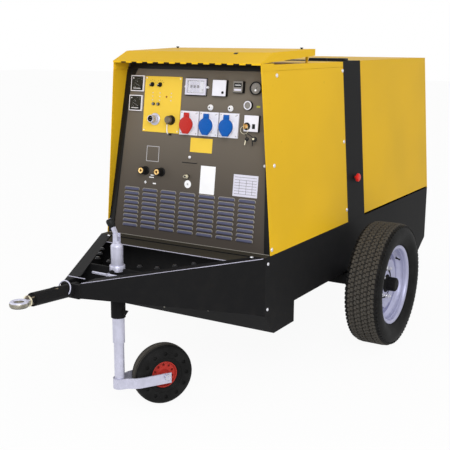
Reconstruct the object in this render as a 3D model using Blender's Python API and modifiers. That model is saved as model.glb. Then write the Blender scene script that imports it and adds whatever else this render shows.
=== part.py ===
"""Engine driven welder on a two wheeled site trailer.

Metres, +Z up.  The drawbar points along -Y, so the machine is longest along Y.
Shapes are laid out from the hood's front edge (y = 0) and the ground (z = 0); the empty
"frame" then shifts everything along Y so that the origin is under the middle of the whole.
"""
import math

import bmesh
import bpy
from mathutils import Matrix, Vector

# ---- driving dimensions: enclosure -------------------------------------------------------
GAP = 0.0003             # running gap between pieces that touch
SHEET = 0.003            # enclosure sheet
TRAY_WALL = 0.004        # base tray plate
BODY_LENGTH = 2.057
BASE_WIDTH = 0.875
ROOF_WIDTH = 0.759
BASE_TOP = 0.6147
ROOF_TOP = 1.4064
BASE_STEP = 0.3595       # underside of the tray between its feet
BASE_NOSE = 0.045        # the base stands this far in front of the hood
FRONT_FOOT = (0.040, 0.232, 0.262)    # y from, y to, underside
REAR_FOOT = (1.780, 1.950, 0.235)
REAR_KICK = 0.300        # height where the tail starts to slope under
HOOP_FROM = 0.8195       # black hoop between the two hoods
HOOP_WIDTH = 0.216
HOOP_WALL = 0.008
DECK_FLANGE = 0.025      # front deck folds down over the sides by this much
DOOR_LIFT = 0.010        # the doors stop this far above the base
GRILLE = (BASE_WIDTH * 0.30, 0.110, 0.170)    # half width, margins above the base and under the roof
GRILLE_SLOTS = 12
GRILLE_OPEN = 0.55         # open share of each slot's pitch
CANOPY_LENGTH = 0.505
CANOPY_RISE = 0.060      # ridge of the canopy above the roof
CANOPY_FLANGE = 0.030
CANOPY_BROW = (0.100, 0.047)   # where the steep front part ends: y, height above roof
TEETH = 13
TOOTH_DEPTH = 0.014
POST_RADIUS = 0.006

# ---- control panel, measured up its own face ---------------------------------------------
PANEL_TILT = math.radians(7.6)
PANEL_FOOT = 0.004       # how far the panel's foot stands behind the hood's front edge
PLATE_SIZE = (0.200, 0.250)
PLATE_AT = (-0.172, 0.608)
PLATE_THICK = 0.003
SELECTOR_RADIUS = 0.016
SELECTOR_HEIGHT = 0.016
SELECTORS = {"selector_left": (-0.232, 0.696), "selector_right": (-0.189, 0.696)}
BREAKER_SIZE = (0.106, 0.016, 0.078)
BREAKER_AT = (0.0, 0.690)
COVER_THICK = 0.010
SOCKET_SIZE = (0.096, 0.106)
SOCKET_PLATE = 0.008
SOCKET_V = 0.533
SOCKET_PITCH = 0.102
SOCKET_FIRST = -0.018
HOUSING_RADIUS = 0.035
HOUSING_DEPTH = 0.026
SOCKET_BORE = 0.028
SOCKET_BORE_DEPTH = 0.028
LID_RADIUS = 0.040
LID_THICK = 0.008
LID_HINGE_RADIUS = 0.005
KEY_BOX = (0.072, 0.018, 0.072)
KEY_BOX_AT = (0.296, 0.545)
KEY_AT = (-0.014, -0.011)
ROCKER_AT = (0.019, -0.010)
ROCKER_POCKET = (0.016, 0.009, 0.026)
ROCKER_SIZE = (0.013, 0.007, 0.020)
PUSH_AT = (0.268, 0.620)
PUSH_RADIUS = 0.014
WELD_AT = {"weld_socket_plus": -0.232, "weld_socket_minus": -0.143}
WELD_V = 0.302
WELD_RADIUS = 0.019
WELD_LENGTH = 0.042
WELD_BORE = 0.0065
STOP_AT = (0.925, 0.827)     # y and z of the emergency stop on the hoop
STOP_RADIUS = 0.021
STEM_RADIUS = 0.006

# ---- running gear ------------------------------------------------------------------------
AXLE_Y = 0.889
TYRE_RADIUS = 0.3086
WHEEL_STEPS = 28             # facets round a road wheel, the same on every piece of it
TYRE_WIDTH = 0.180
TYRE_CLEAR = 0.0835          # from the base's side to the tyre
RIM_RADIUS = 0.1995
RIM_WIDTH = 0.127
BEAM = 0.060
STUB_RADIUS = 0.020
HUB_RADIUS = 0.045
CAP_RADIUS = 0.035

# ---- drawbar -----------------------------------------------------------------------------
NOSE_Y = -0.755
NOSE_HALF = 0.040
BAR_PLATE = 0.005
BAR_FLANGE = 0.050
BAR_FLANGE_NOSE = 0.036          # half width that the flanges leave between them at the nose
BAR_TOP = 0.6147
BAR_DEEP = 0.2507            # depth of the side plates at the base
BAR_SHALLOW = 0.055          # and at the nose
TRAY_DEPTH = 0.105
TOW_TUBE_RADIUS = 0.025
TOW_TUBE_END = -0.962
TOW_Z = 0.604
SHANK_RADIUS = 0.018
EYE_Y = -1.028
EYE_RADIUS = 0.035
EYE_HOLE = 0.0175
EYE_THICK = 0.026

# ---- jockey wheel ------------------------------------------------------------------------
MAST_Y = -0.480
MAST_RADIUS = 0.025
MAST_BOTTOM = 0.2975
MAST_TOP = 0.712
STEM_TUBE_RADIUS = 0.021
STEM_TUBE_BOTTOM = 0.100
STEM_TUBE_TOP = 0.500
NUT_HEIGHT = 0.030
SPINDLE_RADIUS = 0.009
MAST_SOCKET = (0.405, 0.622)
SOCKET_WALL = 0.0045
CROSS_PLATE = (0.500, 0.010)    # underside and thickness of the plate that carries the socket
CASTOR_ANGLE = math.radians(-31.0)
CASTOR_TRAIL = 0.190
JOCKEY_RADIUS = 0.130
JOCKEY_WIDTH = 0.075
JOCKEY_HUB = 0.0565
FORK_BAR = 0.006
FORK_HEIGHT = 0.044
FORK_CLEAR = 0.008
AXLE_BOLT = 0.006
CLAMP_Z = 0.596
CLAMP_BOSS = 0.024
CLAMP_THREAD = 0.006
TEE_LENGTH = 0.150
CRANK_PIVOT = 0.742
CRANK_LEAN = math.radians(-28.0)
CRANK_REACH = 0.036
KNOB_RADIUS = 0.0185
KNOB_HEIGHT = 0.036
KNOB_PIN = 0.004

# ---- engine bay --------------------------------------------------------------------------
BAY_FLOOR = BASE_STEP + TRAY_WALL
ALTERNATOR = (0.300, 0.400, 0.180, 0.130)     # y from, length, outer and bore radius
ROTOR_RADIUS = 0.100
SHAFT_Z = 0.660
SHAFT_RADIUS = 0.025
ENGINE_LENGTH = 0.600
ENGINE_WIDTH = 0.360
ENGINE_HEIGHT = 0.460
ENGINE_WALL = 0.030
FOOT_HEIGHT = 0.060
FAN_RADIUS = 0.190
RADIATOR_THICK = 0.040
TANK_HEIGHT = 0.320
BATTERY = (0.180, 0.200)                      # width and height
MUFFLER_RADIUS = 0.085
MUFFLER_LENGTH = 0.420
MUFFLER_WALL = 0.004
PIPE_RADIUS = 0.024

LEAN = math.atan((BASE_WIDTH - ROOF_WIDTH) / 2 / (ROOF_TOP - BASE_TOP))
ACROSS = Matrix(((0, 0, 1, 0), (1, 0, 0, 0), (0, 1, 0, 0), (0, 0, 0, 1)))   # outline in YZ
UPRIGHT = Matrix.Rotation(math.radians(90), 4, "X")                          # outline in XZ
ALONG_X = Matrix.Rotation(math.radians(90), 4, "Y")                          # turned about X
ALONG_Y = Matrix.Rotation(math.radians(-90), 4, "X")                         # turned about Y


# ---- scene and material helpers ----------------------------------------------------------
def start_scene():
    for old in list(bpy.data.objects):
        bpy.data.objects.remove(old, do_unlink=True)
    made = []
    for title in ("Engine driven welder", "Cutters"):
        group = bpy.data.collections.new(title)
        bpy.context.scene.collection.children.link(group)
        made.append(group)
    return made


PARTS, CUTTERS = start_scene()


def paint(name, colour, roughness, metallic=0.0):
    found = bpy.data.materials.get(name)
    if found:
        return found
    material = bpy.data.materials.new(name)
    material.use_nodes = True
    shader = material.node_tree.nodes["Principled BSDF"]
    shader.inputs["Base Color"].default_value = (*colour, 1.0)
    shader.inputs["Roughness"].default_value = roughness
    shader.inputs["Metallic"].default_value = metallic
    return material


YELLOW = paint("yellow paint", (0.78, 0.46, 0.03), 0.35)
BLACK = paint("black paint", (0.02, 0.02, 0.02), 0.45)
PANEL = paint("panel paint", (0.06, 0.055, 0.05), 0.5)
ZINC = paint("zinc plate", (0.52, 0.52, 0.58), 0.4, 0.9)
SILVER = paint("wheel silver", (0.50, 0.50, 0.56), 0.4, 0.6)
STEEL = paint("dark steel", (0.12, 0.12, 0.12), 0.5, 0.8)
IRON = paint("cast iron", (0.10, 0.11, 0.12), 0.7, 0.4)
RUBBER = paint("tyre rubber", (0.02, 0.02, 0.02), 0.8)
RED = paint("red plastic", (0.55, 0.05, 0.03), 0.4)
BLUE = paint("blue plastic", (0.02, 0.15, 0.55), 0.4)
GREY = paint("light grey plastic", (0.65, 0.65, 0.70), 0.45)
CLEAR = paint("clear plastic", (0.80, 0.82, 0.85), 0.2)
DARK = paint("black plastic", (0.03, 0.03, 0.03), 0.45)
BRASS = paint("brass", (0.70, 0.50, 0.20), 0.35, 0.9)
FINNED = paint("aluminium fins", (0.45, 0.45, 0.45), 0.5, 0.8)


# ---- shape helpers -----------------------------------------------------------------------
def empty(name, location, turn=None, parent=None):
    pivot = bpy.data.objects.new(name, None)
    CUTTERS.objects.link(pivot)
    pivot.parent = parent
    pivot.matrix_basis = Matrix.Translation(Vector(location)) @ (turn or Matrix())
    return pivot


FRAME = empty("frame", (0, (BODY_LENGTH - EYE_RADIUS + EYE_Y) / -2, 0))


def add(name, mesh, material, parent, matrix):
    """Links a mesh as one part.  A part without a material is a cutter."""
    piece = bpy.data.objects.new(name, mesh)
    (PARTS if material else CUTTERS).objects.link(piece)
    piece.parent = parent or FRAME
    piece.matrix_basis = matrix
    if material:
        mesh.materials.append(material)
    else:
        piece.hide_render = True
        piece.display_type = "WIRE"
    return piece


def box(name, material, low, high, parent=None, turn=None):
    low, high = Vector(low), Vector(high)
    size = high - low
    work = bmesh.new()
    bmesh.ops.create_cube(work, size=1.0)
    bmesh.ops.scale(work, vec=size, verts=work.verts)
    mesh = bpy.data.meshes.new(name)
    work.to_mesh(mesh)
    work.free()
    place = Matrix.Translation((low + high) / 2)
    return add(name, mesh, material, parent, (turn or Matrix()) @ place)


def rod(name, material, radius, start, end, parent=None, sides=24, tip=None):
    """A round bar between two points; tip gives the far end another radius."""
    start, end = Vector(start), Vector(end)
    work = bmesh.new()
    bmesh.ops.create_cone(work, cap_ends=True, segments=sides, radius1=radius,
                          radius2=radius if tip is None else tip, depth=(end - start).length)
    mesh = bpy.data.meshes.new(name)
    work.to_mesh(mesh)
    work.free()
    mesh.shade_smooth()
    mesh.set_sharp_from_angle(angle=math.radians(40))
    turn = (end - start).to_track_quat("Z", "Y").to_matrix().to_4x4()
    return add(name, mesh, material, parent, Matrix.Translation((start + end) / 2) @ turn)


def slab(name, material, outline, thickness, parent=None, matrix=None):
    """A flat outline with a thickness, centred on its own plane."""
    curve = bpy.data.curves.new(name, "CURVE")
    curve.dimensions = "2D"
    curve.fill_mode = "BOTH"
    curve.extrude = thickness / 2
    spline = curve.splines.new("POLY")
    spline.points.add(len(outline) - 1)
    for point, (x, y) in zip(spline.points, outline):
        point.co = (x, y, 0.0, 1.0)
    spline.use_cyclic_u = True
    draft = bpy.data.objects.new(name + "_draft", curve)
    CUTTERS.objects.link(draft)
    bpy.context.view_layer.update()
    ready = draft.evaluated_get(bpy.context.evaluated_depsgraph_get())
    mesh = bpy.data.meshes.new_from_object(ready)
    bpy.data.objects.remove(draft, do_unlink=True)
    work = bmesh.new()
    work.from_mesh(mesh)
    bmesh.ops.remove_doubles(work, verts=work.verts, dist=1e-6)
    bmesh.ops.recalc_face_normals(work, faces=work.faces)
    work.to_mesh(mesh)
    work.free()
    return add(name, mesh, material, parent, matrix or Matrix())


def turned(name, material, profile, steps, parent=None, matrix=None):
    """A profile of (radius, height) points, outer side downwards, turned about its axis."""
    mesh = bpy.data.meshes.new(name)
    ring = range(len(profile))
    closed = profile[0][0] > 0 or profile[-1][0] > 0
    edges = [(i, (i + 1) % len(profile)) for i in ring if closed or i + 1 < len(profile)]
    mesh.from_pydata([(radius, 0.0, height) for radius, height in profile], edges, [])
    piece = add(name, mesh, material, parent, matrix or Matrix())
    screw = piece.modifiers.new("Screw", "SCREW")
    screw.axis = "Z"
    screw.steps = steps
    screw.render_steps = steps
    screw.use_merge_vertices = True
    screw.merge_threshold = 1e-5
    screw.use_smooth_shade = True
    return piece


def boolean(piece, other, operation):
    other.hide_render = True
    other.display_type = "WIRE"
    step = piece.modifiers.new(operation.title(), "BOOLEAN")
    step.operation = operation
    step.solver = "EXACT"
    step.object = other
    return piece


def cut(piece, *tools):
    for tool in tools:
        boolean(piece, tool, "DIFFERENCE")
    return piece


def fuse(piece, *tools):
    for tool in tools:
        boolean(piece, tool, "UNION")
    return piece


def arc(radius, start, stop, count, centre=(0.0, 0.0)):
    """Points along an arc, angles in degrees."""
    for i in range(count + 1):
        angle = math.radians(start + (stop - start) * i / count)
        yield (centre[0] + radius * math.cos(angle), centre[1] + radius * math.sin(angle))


def ribbon(path, width):
    """The outline of a bar of even width bent along a path of points."""
    left, right = [], []
    for i, point in enumerate(path):
        before, after = path[max(i - 1, 0)], path[min(i + 1, len(path) - 1)]
        along = Vector((after[0] - before[0], after[1] - before[1])).normalized()
        side = Vector((-along.y, along.x)) * width / 2
        left.append((point[0] + side.x, point[1] + side.y))
        right.append((point[0] - side.x, point[1] - side.y))
    return left + right[::-1]


# ---- enclosure ---------------------------------------------------------------------------
def half_width(z):
    """Half the enclosure's outside width at a height."""
    return BASE_WIDTH / 2 - (z - BASE_TOP) * math.tan(LEAN)


def side_face(side, y, z, depth=0.0):
    """Turns an outline in (length, height up the side) into the leaning side sheet."""
    at = Vector((side * (half_width(z) - depth / math.cos(LEAN)), y, z))
    return Matrix.Translation(at) @ Matrix.Rotation(-side * LEAN, 4, "Y") @ ACROSS


def side_sheet(name, material, side, y_from, y_to, z_from, z_to, parent=None, origin=None):
    rise = (z_to - z_from) / math.cos(LEAN)
    outline = [(0, 0), (y_to - y_from, 0), (y_to - y_from, rise), (0, rise)]
    place = side_face(side, y_from, z_from, SHEET / 2)
    if origin:
        place = origin.matrix_basis.inverted() @ place
    return slab(name, material, outline, SHEET, parent, place)


def base_tray():
    front, rear, wall = FRONT_FOOT, REAR_FOOT, TRAY_WALL
    low, top = BASE_STEP, BASE_TOP
    outer = [(-BASE_NOSE, top), (-BASE_NOSE, low), (front[0], front[2]), (front[1], front[2]),
             (front[1], low), (rear[0], low), (rear[0], rear[2]), (rear[1], rear[2]),
             (BODY_LENGTH, REAR_KICK), (BODY_LENGTH, top)]
    inner = [(-BASE_NOSE + wall, top + wall), (-BASE_NOSE + wall, low + wall),
             (front[0] + wall, front[2] + wall), (front[1] - wall, front[2] + wall),
             (front[1] - wall, low + wall), (rear[0] + wall, low + wall),
             (rear[0] + wall, rear[2] + wall), (rear[1], rear[2] + wall),
             (BODY_LENGTH - wall, REAR_KICK + wall), (BODY_LENGTH - wall, top + wall)]
    tray = slab("base_tray", BLACK, outer, BASE_WIDTH, matrix=ACROSS)
    hollow = slab("base_hollow", None, inner, BASE_WIDTH - 2 * wall, matrix=ACROSS)
    ledge = box("base_ledge", None, (-BASE_WIDTH / 2 + wall / 2, -BASE_NOSE + wall / 2, top - wall),
                (BASE_WIDTH / 2 - wall / 2, PANEL_FOOT + 0.03, top))
    return fuse(cut(tray, hollow), ledge)


def hoop():
    z_low, z_high = BASE_TOP + GAP, ROOF_TOP
    inside = z_high - HOOP_WALL
    wall = HOOP_WALL / math.cos(LEAN)
    outline = [(-half_width(z_low), z_low), (-half_width(z_high), z_high),
               (half_width(z_high), z_high), (half_width(z_low), z_low),
               (half_width(z_low) - wall, z_low), (half_width(inside) - wall, inside),
               (wall - half_width(inside), inside), (wall - half_width(z_low), z_low)]
    middle = HOOP_FROM + HOOP_WIDTH / 2
    piece = slab("centre_hoop", BLACK, outline, HOOP_WIDTH,
                 matrix=Matrix.Translation((0, middle, 0)) @ UPRIGHT)
    out = half_width(STOP_AT[1])
    hole = rod("stop_hole", None, STEM_RADIUS + GAP, (out - 0.04, STOP_AT[0], STOP_AT[1]),
               (out + 0.04, STOP_AT[0], STOP_AT[1]), sides=16)
    return cut(piece, hole)


def stop_button():
    out = half_width(STOP_AT[1])
    side = empty("stop_axis", (out, *STOP_AT), ALONG_X, FRAME)
    profile = [(0, 0.026), (STOP_RADIUS * 0.75, 0.025), (STOP_RADIUS, 0.020), (STOP_RADIUS, 0.012),
               (STEM_RADIUS, 0.010), (STEM_RADIUS, -0.012), (0, -0.012)]
    return turned("stop_button", RED, profile, 20, side)


def front_sides():
    for side, name in ((-1, "front_side_left"), (1, "front_side_right")):
        side_sheet(name, YELLOW, side, 0, HOOP_FROM - GAP, BASE_TOP + GAP,
                   ROOF_TOP - SHEET - DECK_FLANGE - GAP)


def front_deck():
    top, rear = ROOF_TOP - SHEET + 0.0006, HOOP_FROM - GAP
    back = panel_rear(top)
    half = half_width(top)
    deck = box("front_deck", YELLOW, (-half, back, top - SHEET), (half, rear, top))
    for side in (-1, 1):
        flange = side_sheet("deck_flange", None, side, 0, rear, top - DECK_FLANGE, top - 0.0001)
        fuse(deck, flange)
        at = (side * (half - 0.035), CANOPY_LENGTH - 0.015)
        under = canopy_height(at[1]) - SHEET - GAP
        fuse(deck, rod("canopy_post", None, POST_RADIUS, (*at, top - SHEET / 2), (*at, under), sides=12))
    return deck


def canopy_height(y):
    """Top of the canopy's long slope at a length."""
    brow = ROOF_TOP + CANOPY_BROW[1]
    ridge = ROOF_TOP + CANOPY_RISE
    return brow + (ridge - brow) * (y - CANOPY_BROW[0]) / (CANOPY_LENGTH - CANOPY_BROW[0])


def canopy():
    foot = ROOF_TOP - SHEET + 0.0006 + GAP
    lip = -SHEET - GAP
    half = half_width(ROOF_TOP)
    outer = [(lip, foot), (lip, foot + 0.006), (CANOPY_BROW[0], canopy_height(CANOPY_BROW[0])),
             (CANOPY_LENGTH, canopy_height(CANOPY_LENGTH)),
             (CANOPY_LENGTH, canopy_height(CANOPY_LENGTH) - CANOPY_FLANGE)]
    inner = [(-GAP, foot - 0.02), (-GAP, foot + 0.006 - SHEET / 2),
             (CANOPY_BROW[0] + 0.001, canopy_height(CANOPY_BROW[0]) - SHEET),
             (CANOPY_LENGTH - SHEET, canopy_height(CANOPY_LENGTH - SHEET) - SHEET),
             (CANOPY_LENGTH - SHEET, foot - 0.02)]
    shell = slab("canopy", YELLOW, outer, 2 * half, matrix=ACROSS)
    cut(shell, slab("canopy_hollow", None, inner, 2 * (half - SHEET), matrix=ACROSS))
    comb = box("canopy_comb", None, (-half, lip, foot - TOOTH_DEPTH), (half, -GAP, foot + 0.003))
    pitch = 2 * half / TEETH
    for i in range(TEETH - 1):
        middle = -half + pitch * (i + 1)
        notch = box("comb_notch", None, (middle - pitch / 4, lip - 0.01, foot - 2 * TOOTH_DEPTH),
                    (middle + pitch / 4, 0.01, foot - TOOTH_DEPTH * 0.35))
        cut(comb, notch)
    return fuse(shell, comb)


def rear_hood():
    """Roof and tail of the engine bay, folded from one sheet with air slots in the tail."""
    front = HOOP_FROM + HOOP_WIDTH + GAP
    low = BASE_TOP + GAP
    half = half_width(ROOF_TOP)
    hood = box("rear_hood", YELLOW, (-half, front, ROOF_TOP - SHEET), (half, BODY_LENGTH, ROOF_TOP))
    high = ROOF_TOP - SHEET / 2
    outline = [(-half_width(low), low), (half_width(low), low), (half_width(high), high),
               (-half_width(high), high)]
    tail = slab("tail_sheet", None, outline, SHEET,
                matrix=Matrix.Translation((0, BODY_LENGTH - SHEET / 2, 0)) @ UPRIGHT)
    wide, under, over = GRILLE
    pitch = (ROOF_TOP - over - BASE_TOP - under) / GRILLE_SLOTS
    for i in range(GRILLE_SLOTS):
        z = BASE_TOP + under + pitch * i
        cut(tail, box("tail_slot", None, (-wide, BODY_LENGTH - 0.05, z),
                      (wide, BODY_LENGTH + 0.05, z + pitch * GRILLE_OPEN)))
    return fuse(hood, tail)


def rear_doors():
    y_from = HOOP_FROM + HOOP_WIDTH + GAP
    y_to = BODY_LENGTH - SHEET - GAP
    z_from, z_to = BASE_TOP + DOOR_LIFT, ROOF_TOP - SHEET - GAP
    for side, name in ((-1, "rear_door_left"), (1, "rear_door_right")):
        hinge = empty(name + "_hinge", (side * half_width(z_from), y_from, z_from),
                      Matrix.Rotation(-side * LEAN, 4, "Y"), FRAME)
        side_sheet(name, YELLOW, side, y_from, y_to, z_from, z_to, hinge, hinge)


# ---- control panel -----------------------------------------------------------------------
PANEL_ORIGIN = (0, PANEL_FOOT, BASE_TOP + GAP)


def panel_rear(z):
    """Where the panel's back face is at a height, with clearance for the deck behind it."""
    return PANEL_FOOT + (z - BASE_TOP) * math.tan(PANEL_TILT) + SHEET / math.cos(PANEL_TILT) + GAP


# local x runs across the panel, z up its face and y into the machine
PANEL_FACE = empty("panel_face", PANEL_ORIGIN, Matrix.Rotation(-PANEL_TILT, 4, "X"), FRAME)


def on_panel(name, u, v, out=0.0):
    """An empty on the panel's face with +Z pointing straight out of it, for turned pieces."""
    return empty(name, (u, -out, v), Matrix.Rotation(math.radians(90), 4, "X"), PANEL_FACE)


def control_panel():
    low, high = GAP, (ROOF_TOP - 0.004 - PANEL_ORIGIN[2]) / math.cos(PANEL_TILT)
    edge = SHEET / math.cos(LEAN) + GAP

    def half_at(v):
        return half_width(PANEL_ORIGIN[2] + v * math.cos(PANEL_TILT)) - edge

    outline = [(-half_at(low), low), (half_at(low), low), (half_at(high), high), (-half_at(high), high)]
    place = Matrix.Translation((0, SHEET / 2, 0)) @ UPRIGHT
    panel = slab("control_panel", PANEL, outline, SHEET, PANEL_FACE, place)
    hole = rod("push_hole", None, STEM_RADIUS + GAP, (PUSH_AT[0], -0.02, PUSH_AT[1]),
               (PUSH_AT[0], 0.02, PUSH_AT[1]), PANEL_FACE, 16)
    return cut(panel, hole)


def control_plate():
    (u, v), (wide, high) = PLATE_AT, PLATE_SIZE
    box("control_plate", YELLOW, (u - wide / 2, -PLATE_THICK - GAP, v - high / 2),
        (u + wide / 2, -GAP, v + high / 2), PANEL_FACE)
    for name, (u, v) in SELECTORS.items():
        spot = on_panel(name + "_axis", u, v, PLATE_THICK + 2 * GAP)
        skirt = [(0, SELECTOR_HEIGHT * 0.6), (SELECTOR_RADIUS * 0.9, SELECTOR_HEIGHT * 0.55),
                 (SELECTOR_RADIUS, 0), (0, 0)]
        knob = turned(name, DARK, skirt, 24, spot)
        bar = box(name + "_grip", None, (-0.004, -SELECTOR_RADIUS * 0.85, 0.002),
                  (0.004, SELECTOR_RADIUS * 0.85, SELECTOR_HEIGHT), spot)
        fuse(knob, bar)


def breaker_box():
    (u, v), (wide, deep, high) = BREAKER_AT, BREAKER_SIZE
    box("breaker_box", GREY, (u - wide / 2, -deep, v - high / 2), (u + wide / 2, -GAP, v + high / 2),
        PANEL_FACE)
    hinge_v = v + high / 2 - 0.004
    hinge = empty("breaker_cover_hinge", (u, -deep - GAP - 0.004, hinge_v), None, PANEL_FACE)
    box("breaker_cover", CLEAR, (-wide / 2, -COVER_THICK + 0.004, -high + 0.008), (wide / 2, 0.004, 0.001),
        hinge)


def power_sockets():
    paints = (("red", RED), ("blue_1", BLUE), ("blue_2", BLUE))
    for i, (name, colour) in enumerate(paints):
        u = SOCKET_FIRST + SOCKET_PITCH * i
        wide, high = SOCKET_SIZE
        plate = box("socket_" + name, GREY, (u - wide / 2, -SOCKET_PLATE, SOCKET_V - high / 2),
                    (u + wide / 2, -GAP, SOCKET_V + high / 2), PANEL_FACE)
        front = SOCKET_PLATE + HOUSING_DEPTH
        body = rod("housing", None, HOUSING_RADIUS, (u, -SOCKET_PLATE / 2, SOCKET_V),
                   (u, -front, SOCKET_V), PANEL_FACE, 24)
        bore = rod("housing_bore", None, SOCKET_BORE, (u, -front - 0.01, SOCKET_V),
                   (u, -front + SOCKET_BORE_DEPTH, SOCKET_V), PANEL_FACE, 24)
        hinge_v = SOCKET_V + HOUSING_RADIUS + LID_HINGE_RADIUS
        lug = box("hinge_lug", None, (u - 0.010, -front, SOCKET_V + HOUSING_RADIUS - 0.006),
                  (u + 0.010, -SOCKET_PLATE / 2, hinge_v + 0.002), PANEL_FACE)
        cut(fuse(plate, body, lug), bore)
        out = front + GAP + LID_THICK / 2
        hinge = empty("lid_" + name + "_hinge", (u, -out, hinge_v), None, PANEL_FACE)
        drop = hinge_v - SOCKET_V
        lid = rod("lid_" + name, colour, LID_RADIUS, (0, LID_THICK / 2, -drop), (0, -LID_THICK / 2, -drop),
                  hinge, 24)
        barrel = rod("lid_barrel", None, LID_THICK / 2 * 0.98, (-0.014, 0, 0), (0.014, 0, 0), hinge, 12)
        web = box("lid_web", None, (-0.014, -LID_THICK / 2 + 0.0002, -0.012),
                  (0.014, LID_THICK / 2 - 0.0002, 0), hinge)
        fuse(lid, barrel, web)


def key_switch():
    (u, v), (wide, deep, high) = KEY_BOX_AT, KEY_BOX
    case = box("key_box", GREY, (u - wide / 2, -deep, v - high / 2), (u + wide / 2, -GAP, v + high / 2),
               PANEL_FACE)
    rocker_u, rocker_v = u + ROCKER_AT[0], v + ROCKER_AT[1]
    pocket_wide, pocket_deep, pocket_high = ROCKER_POCKET
    left, right = rocker_u - pocket_wide / 2, rocker_u + pocket_wide / 2
    foot, head = rocker_v - pocket_high / 2, rocker_v + pocket_high / 2
    cut(case, box("rocker_pocket", None, (left, -deep - 0.01, foot), (right, -deep + pocket_deep, head),
                  PANEL_FACE))
    spot = on_panel("key_axis", u + KEY_AT[0], v + KEY_AT[1], deep + GAP)
    key = rod("key", ZINC, 0.007, (0, 0, 0), (0, 0, 0.006), spot, 20)
    bow = box("key_bow", None, (-0.0015, -0.011, 0.004), (0.0015, 0.011, 0.026), spot)
    fuse(key, bow)
    rock_wide, rock_deep, rock_high = ROCKER_SIZE
    pivot = empty("rocker_axis", (rocker_u, -deep + rock_deep / 2 - 0.001, rocker_v), None, PANEL_FACE)
    rocker = box("rocker", DARK, (-rock_wide / 2, -rock_deep / 2, -rock_high / 2),
                 (rock_wide / 2, rock_deep / 2, rock_high / 2), pivot)
    fuse(rocker, rod("rocker_pin", None, 0.002, (-pocket_wide / 2 + GAP, 0, 0),
                     (pocket_wide / 2 - GAP, 0, 0), pivot, 12))


def push_button():
    spot = on_panel("push_axis", *PUSH_AT)
    profile = [(0, 0.014), (PUSH_RADIUS * 0.9, 0.013), (PUSH_RADIUS, 0.010), (PUSH_RADIUS, 0.005),
               (STEM_RADIUS, 0.005), (STEM_RADIUS, -0.008), (0, -0.008)]
    turned("push_button", DARK, profile, 16, spot)


def weld_sockets():
    for name, u in WELD_AT.items():
        spot = on_panel(name + "_axis", u, WELD_V)
        profile = [(WELD_RADIUS * 0.8, WELD_LENGTH), (WELD_RADIUS, WELD_LENGTH - 0.005),
                   (WELD_RADIUS, 0.012), (WELD_RADIUS * 1.25, 0.008), (WELD_RADIUS * 1.25, GAP),
                   (WELD_BORE, GAP), (WELD_BORE, WELD_LENGTH)]
        turned(name, BRASS, profile, 16, spot)


# ---- running gear ------------------------------------------------------------------------
def wheel_x():
    return BASE_WIDTH / 2 + TYRE_CLEAR + TYRE_WIDTH / 2


def axle_beam():
    """Square beam hung under the tray by two brackets, with a stub at each end."""
    half = wheel_x() - TYRE_WIDTH / 2 - 0.020
    z = TYRE_RADIUS
    beam = box("axle_beam", BLACK, (-half, AXLE_Y - BEAM / 2, z - BEAM / 2),
               (half, AXLE_Y + BEAM / 2, z + BEAM / 2))
    for side in (-1, 1):
        x = side * (BASE_WIDTH / 2 - 0.080)
        pad = box("axle_pad", None, (x - 0.050, AXLE_Y - 0.055, z + BEAM / 2 - 0.010),
                  (x + 0.050, AXLE_Y + 0.055, BASE_STEP - GAP))
        stub = rod("axle_stub", None, STUB_RADIUS, (side * (half - 0.020), AXLE_Y, z),
                   (side * (wheel_x() + 0.055), AXLE_Y, z), sides=WHEEL_STEPS)
        fuse(beam, pad, stub)
    return beam


def road_wheel(side, name):
    """Hub, rim and tyre turned about the axle; profile heights run outwards from mid tyre."""
    spin = empty("wheel_" + name, (side * wheel_x(), AXLE_Y, TYRE_RADIUS),
                 Matrix.Rotation(side * math.radians(90), 4, "Y"), FRAME)
    bore = STUB_RADIUS + GAP
    half = RIM_WIDTH / 2
    disc = 0.012
    hub = [(0, 0.072), (CAP_RADIUS - 0.007, 0.071), (CAP_RADIUS - 0.001, 0.066), (CAP_RADIUS, 0.058),
           (CAP_RADIUS, 0.028), (HUB_RADIUS, 0.020), (HUB_RADIUS, disc), (0.078, disc), (0.078, disc - 0.012),
           (0.052, disc - 0.020), (0.050, -0.070), (bore, -0.070), (bore, 0.058), (0, 0.058)]
    turned("hub_" + name, BLACK, hub, WHEEL_STEPS, spin)
    face = disc + GAP
    seat = RIM_RADIUS - 0.018
    well = RIM_RADIUS - 0.040
    hole = HUB_RADIUS + GAP
    rim = [(RIM_RADIUS, half), (RIM_RADIUS, half - 0.006), (seat, half - 0.016), (well, half - 0.040),
           (well, half - 0.070), (seat, 0.016 - half), (RIM_RADIUS, 0.006 - half), (RIM_RADIUS, -half),
           (seat - 0.004, 0.006 - half), (well - 0.006, half - 0.070), (0.125, face + 0.006), (0.105, face),
           (hole, face), (hole, face + 0.005), (0.100, face + 0.005), (0.118, face + 0.013),
           (well - 0.006, face + 0.010), (seat - 0.004, half - 0.006)]
    turned("rim_" + name, SILVER, rim, WHEEL_STEPS, spin)
    bead = RIM_RADIUS - 0.018 + GAP + 0.0012
    wide = TYRE_WIDTH / 2
    inner = half - 0.0125 - GAP
    crown = TYRE_RADIUS - 0.014
    outside = [(TYRE_RADIUS, 0.045), (TYRE_RADIUS - 0.004, 0.066), (TYRE_RADIUS - 0.016, wide - 0.008),
               (TYRE_RADIUS - 0.045, wide), (RIM_RADIUS + 0.004, inner + 0.006),
               (bead + 0.003, inner - 0.001), (bead, inner - 0.012), (bead + 0.006, inner - 0.020),
               (crown - 0.016, 0.070), (crown, 0.050)]
    tyre = [(r, -x) for r, x in outside] + [(r, x) for r, x in reversed(outside)]
    turned("tyre_" + name, RUBBER, tyre, WHEEL_STEPS, spin)


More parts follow.
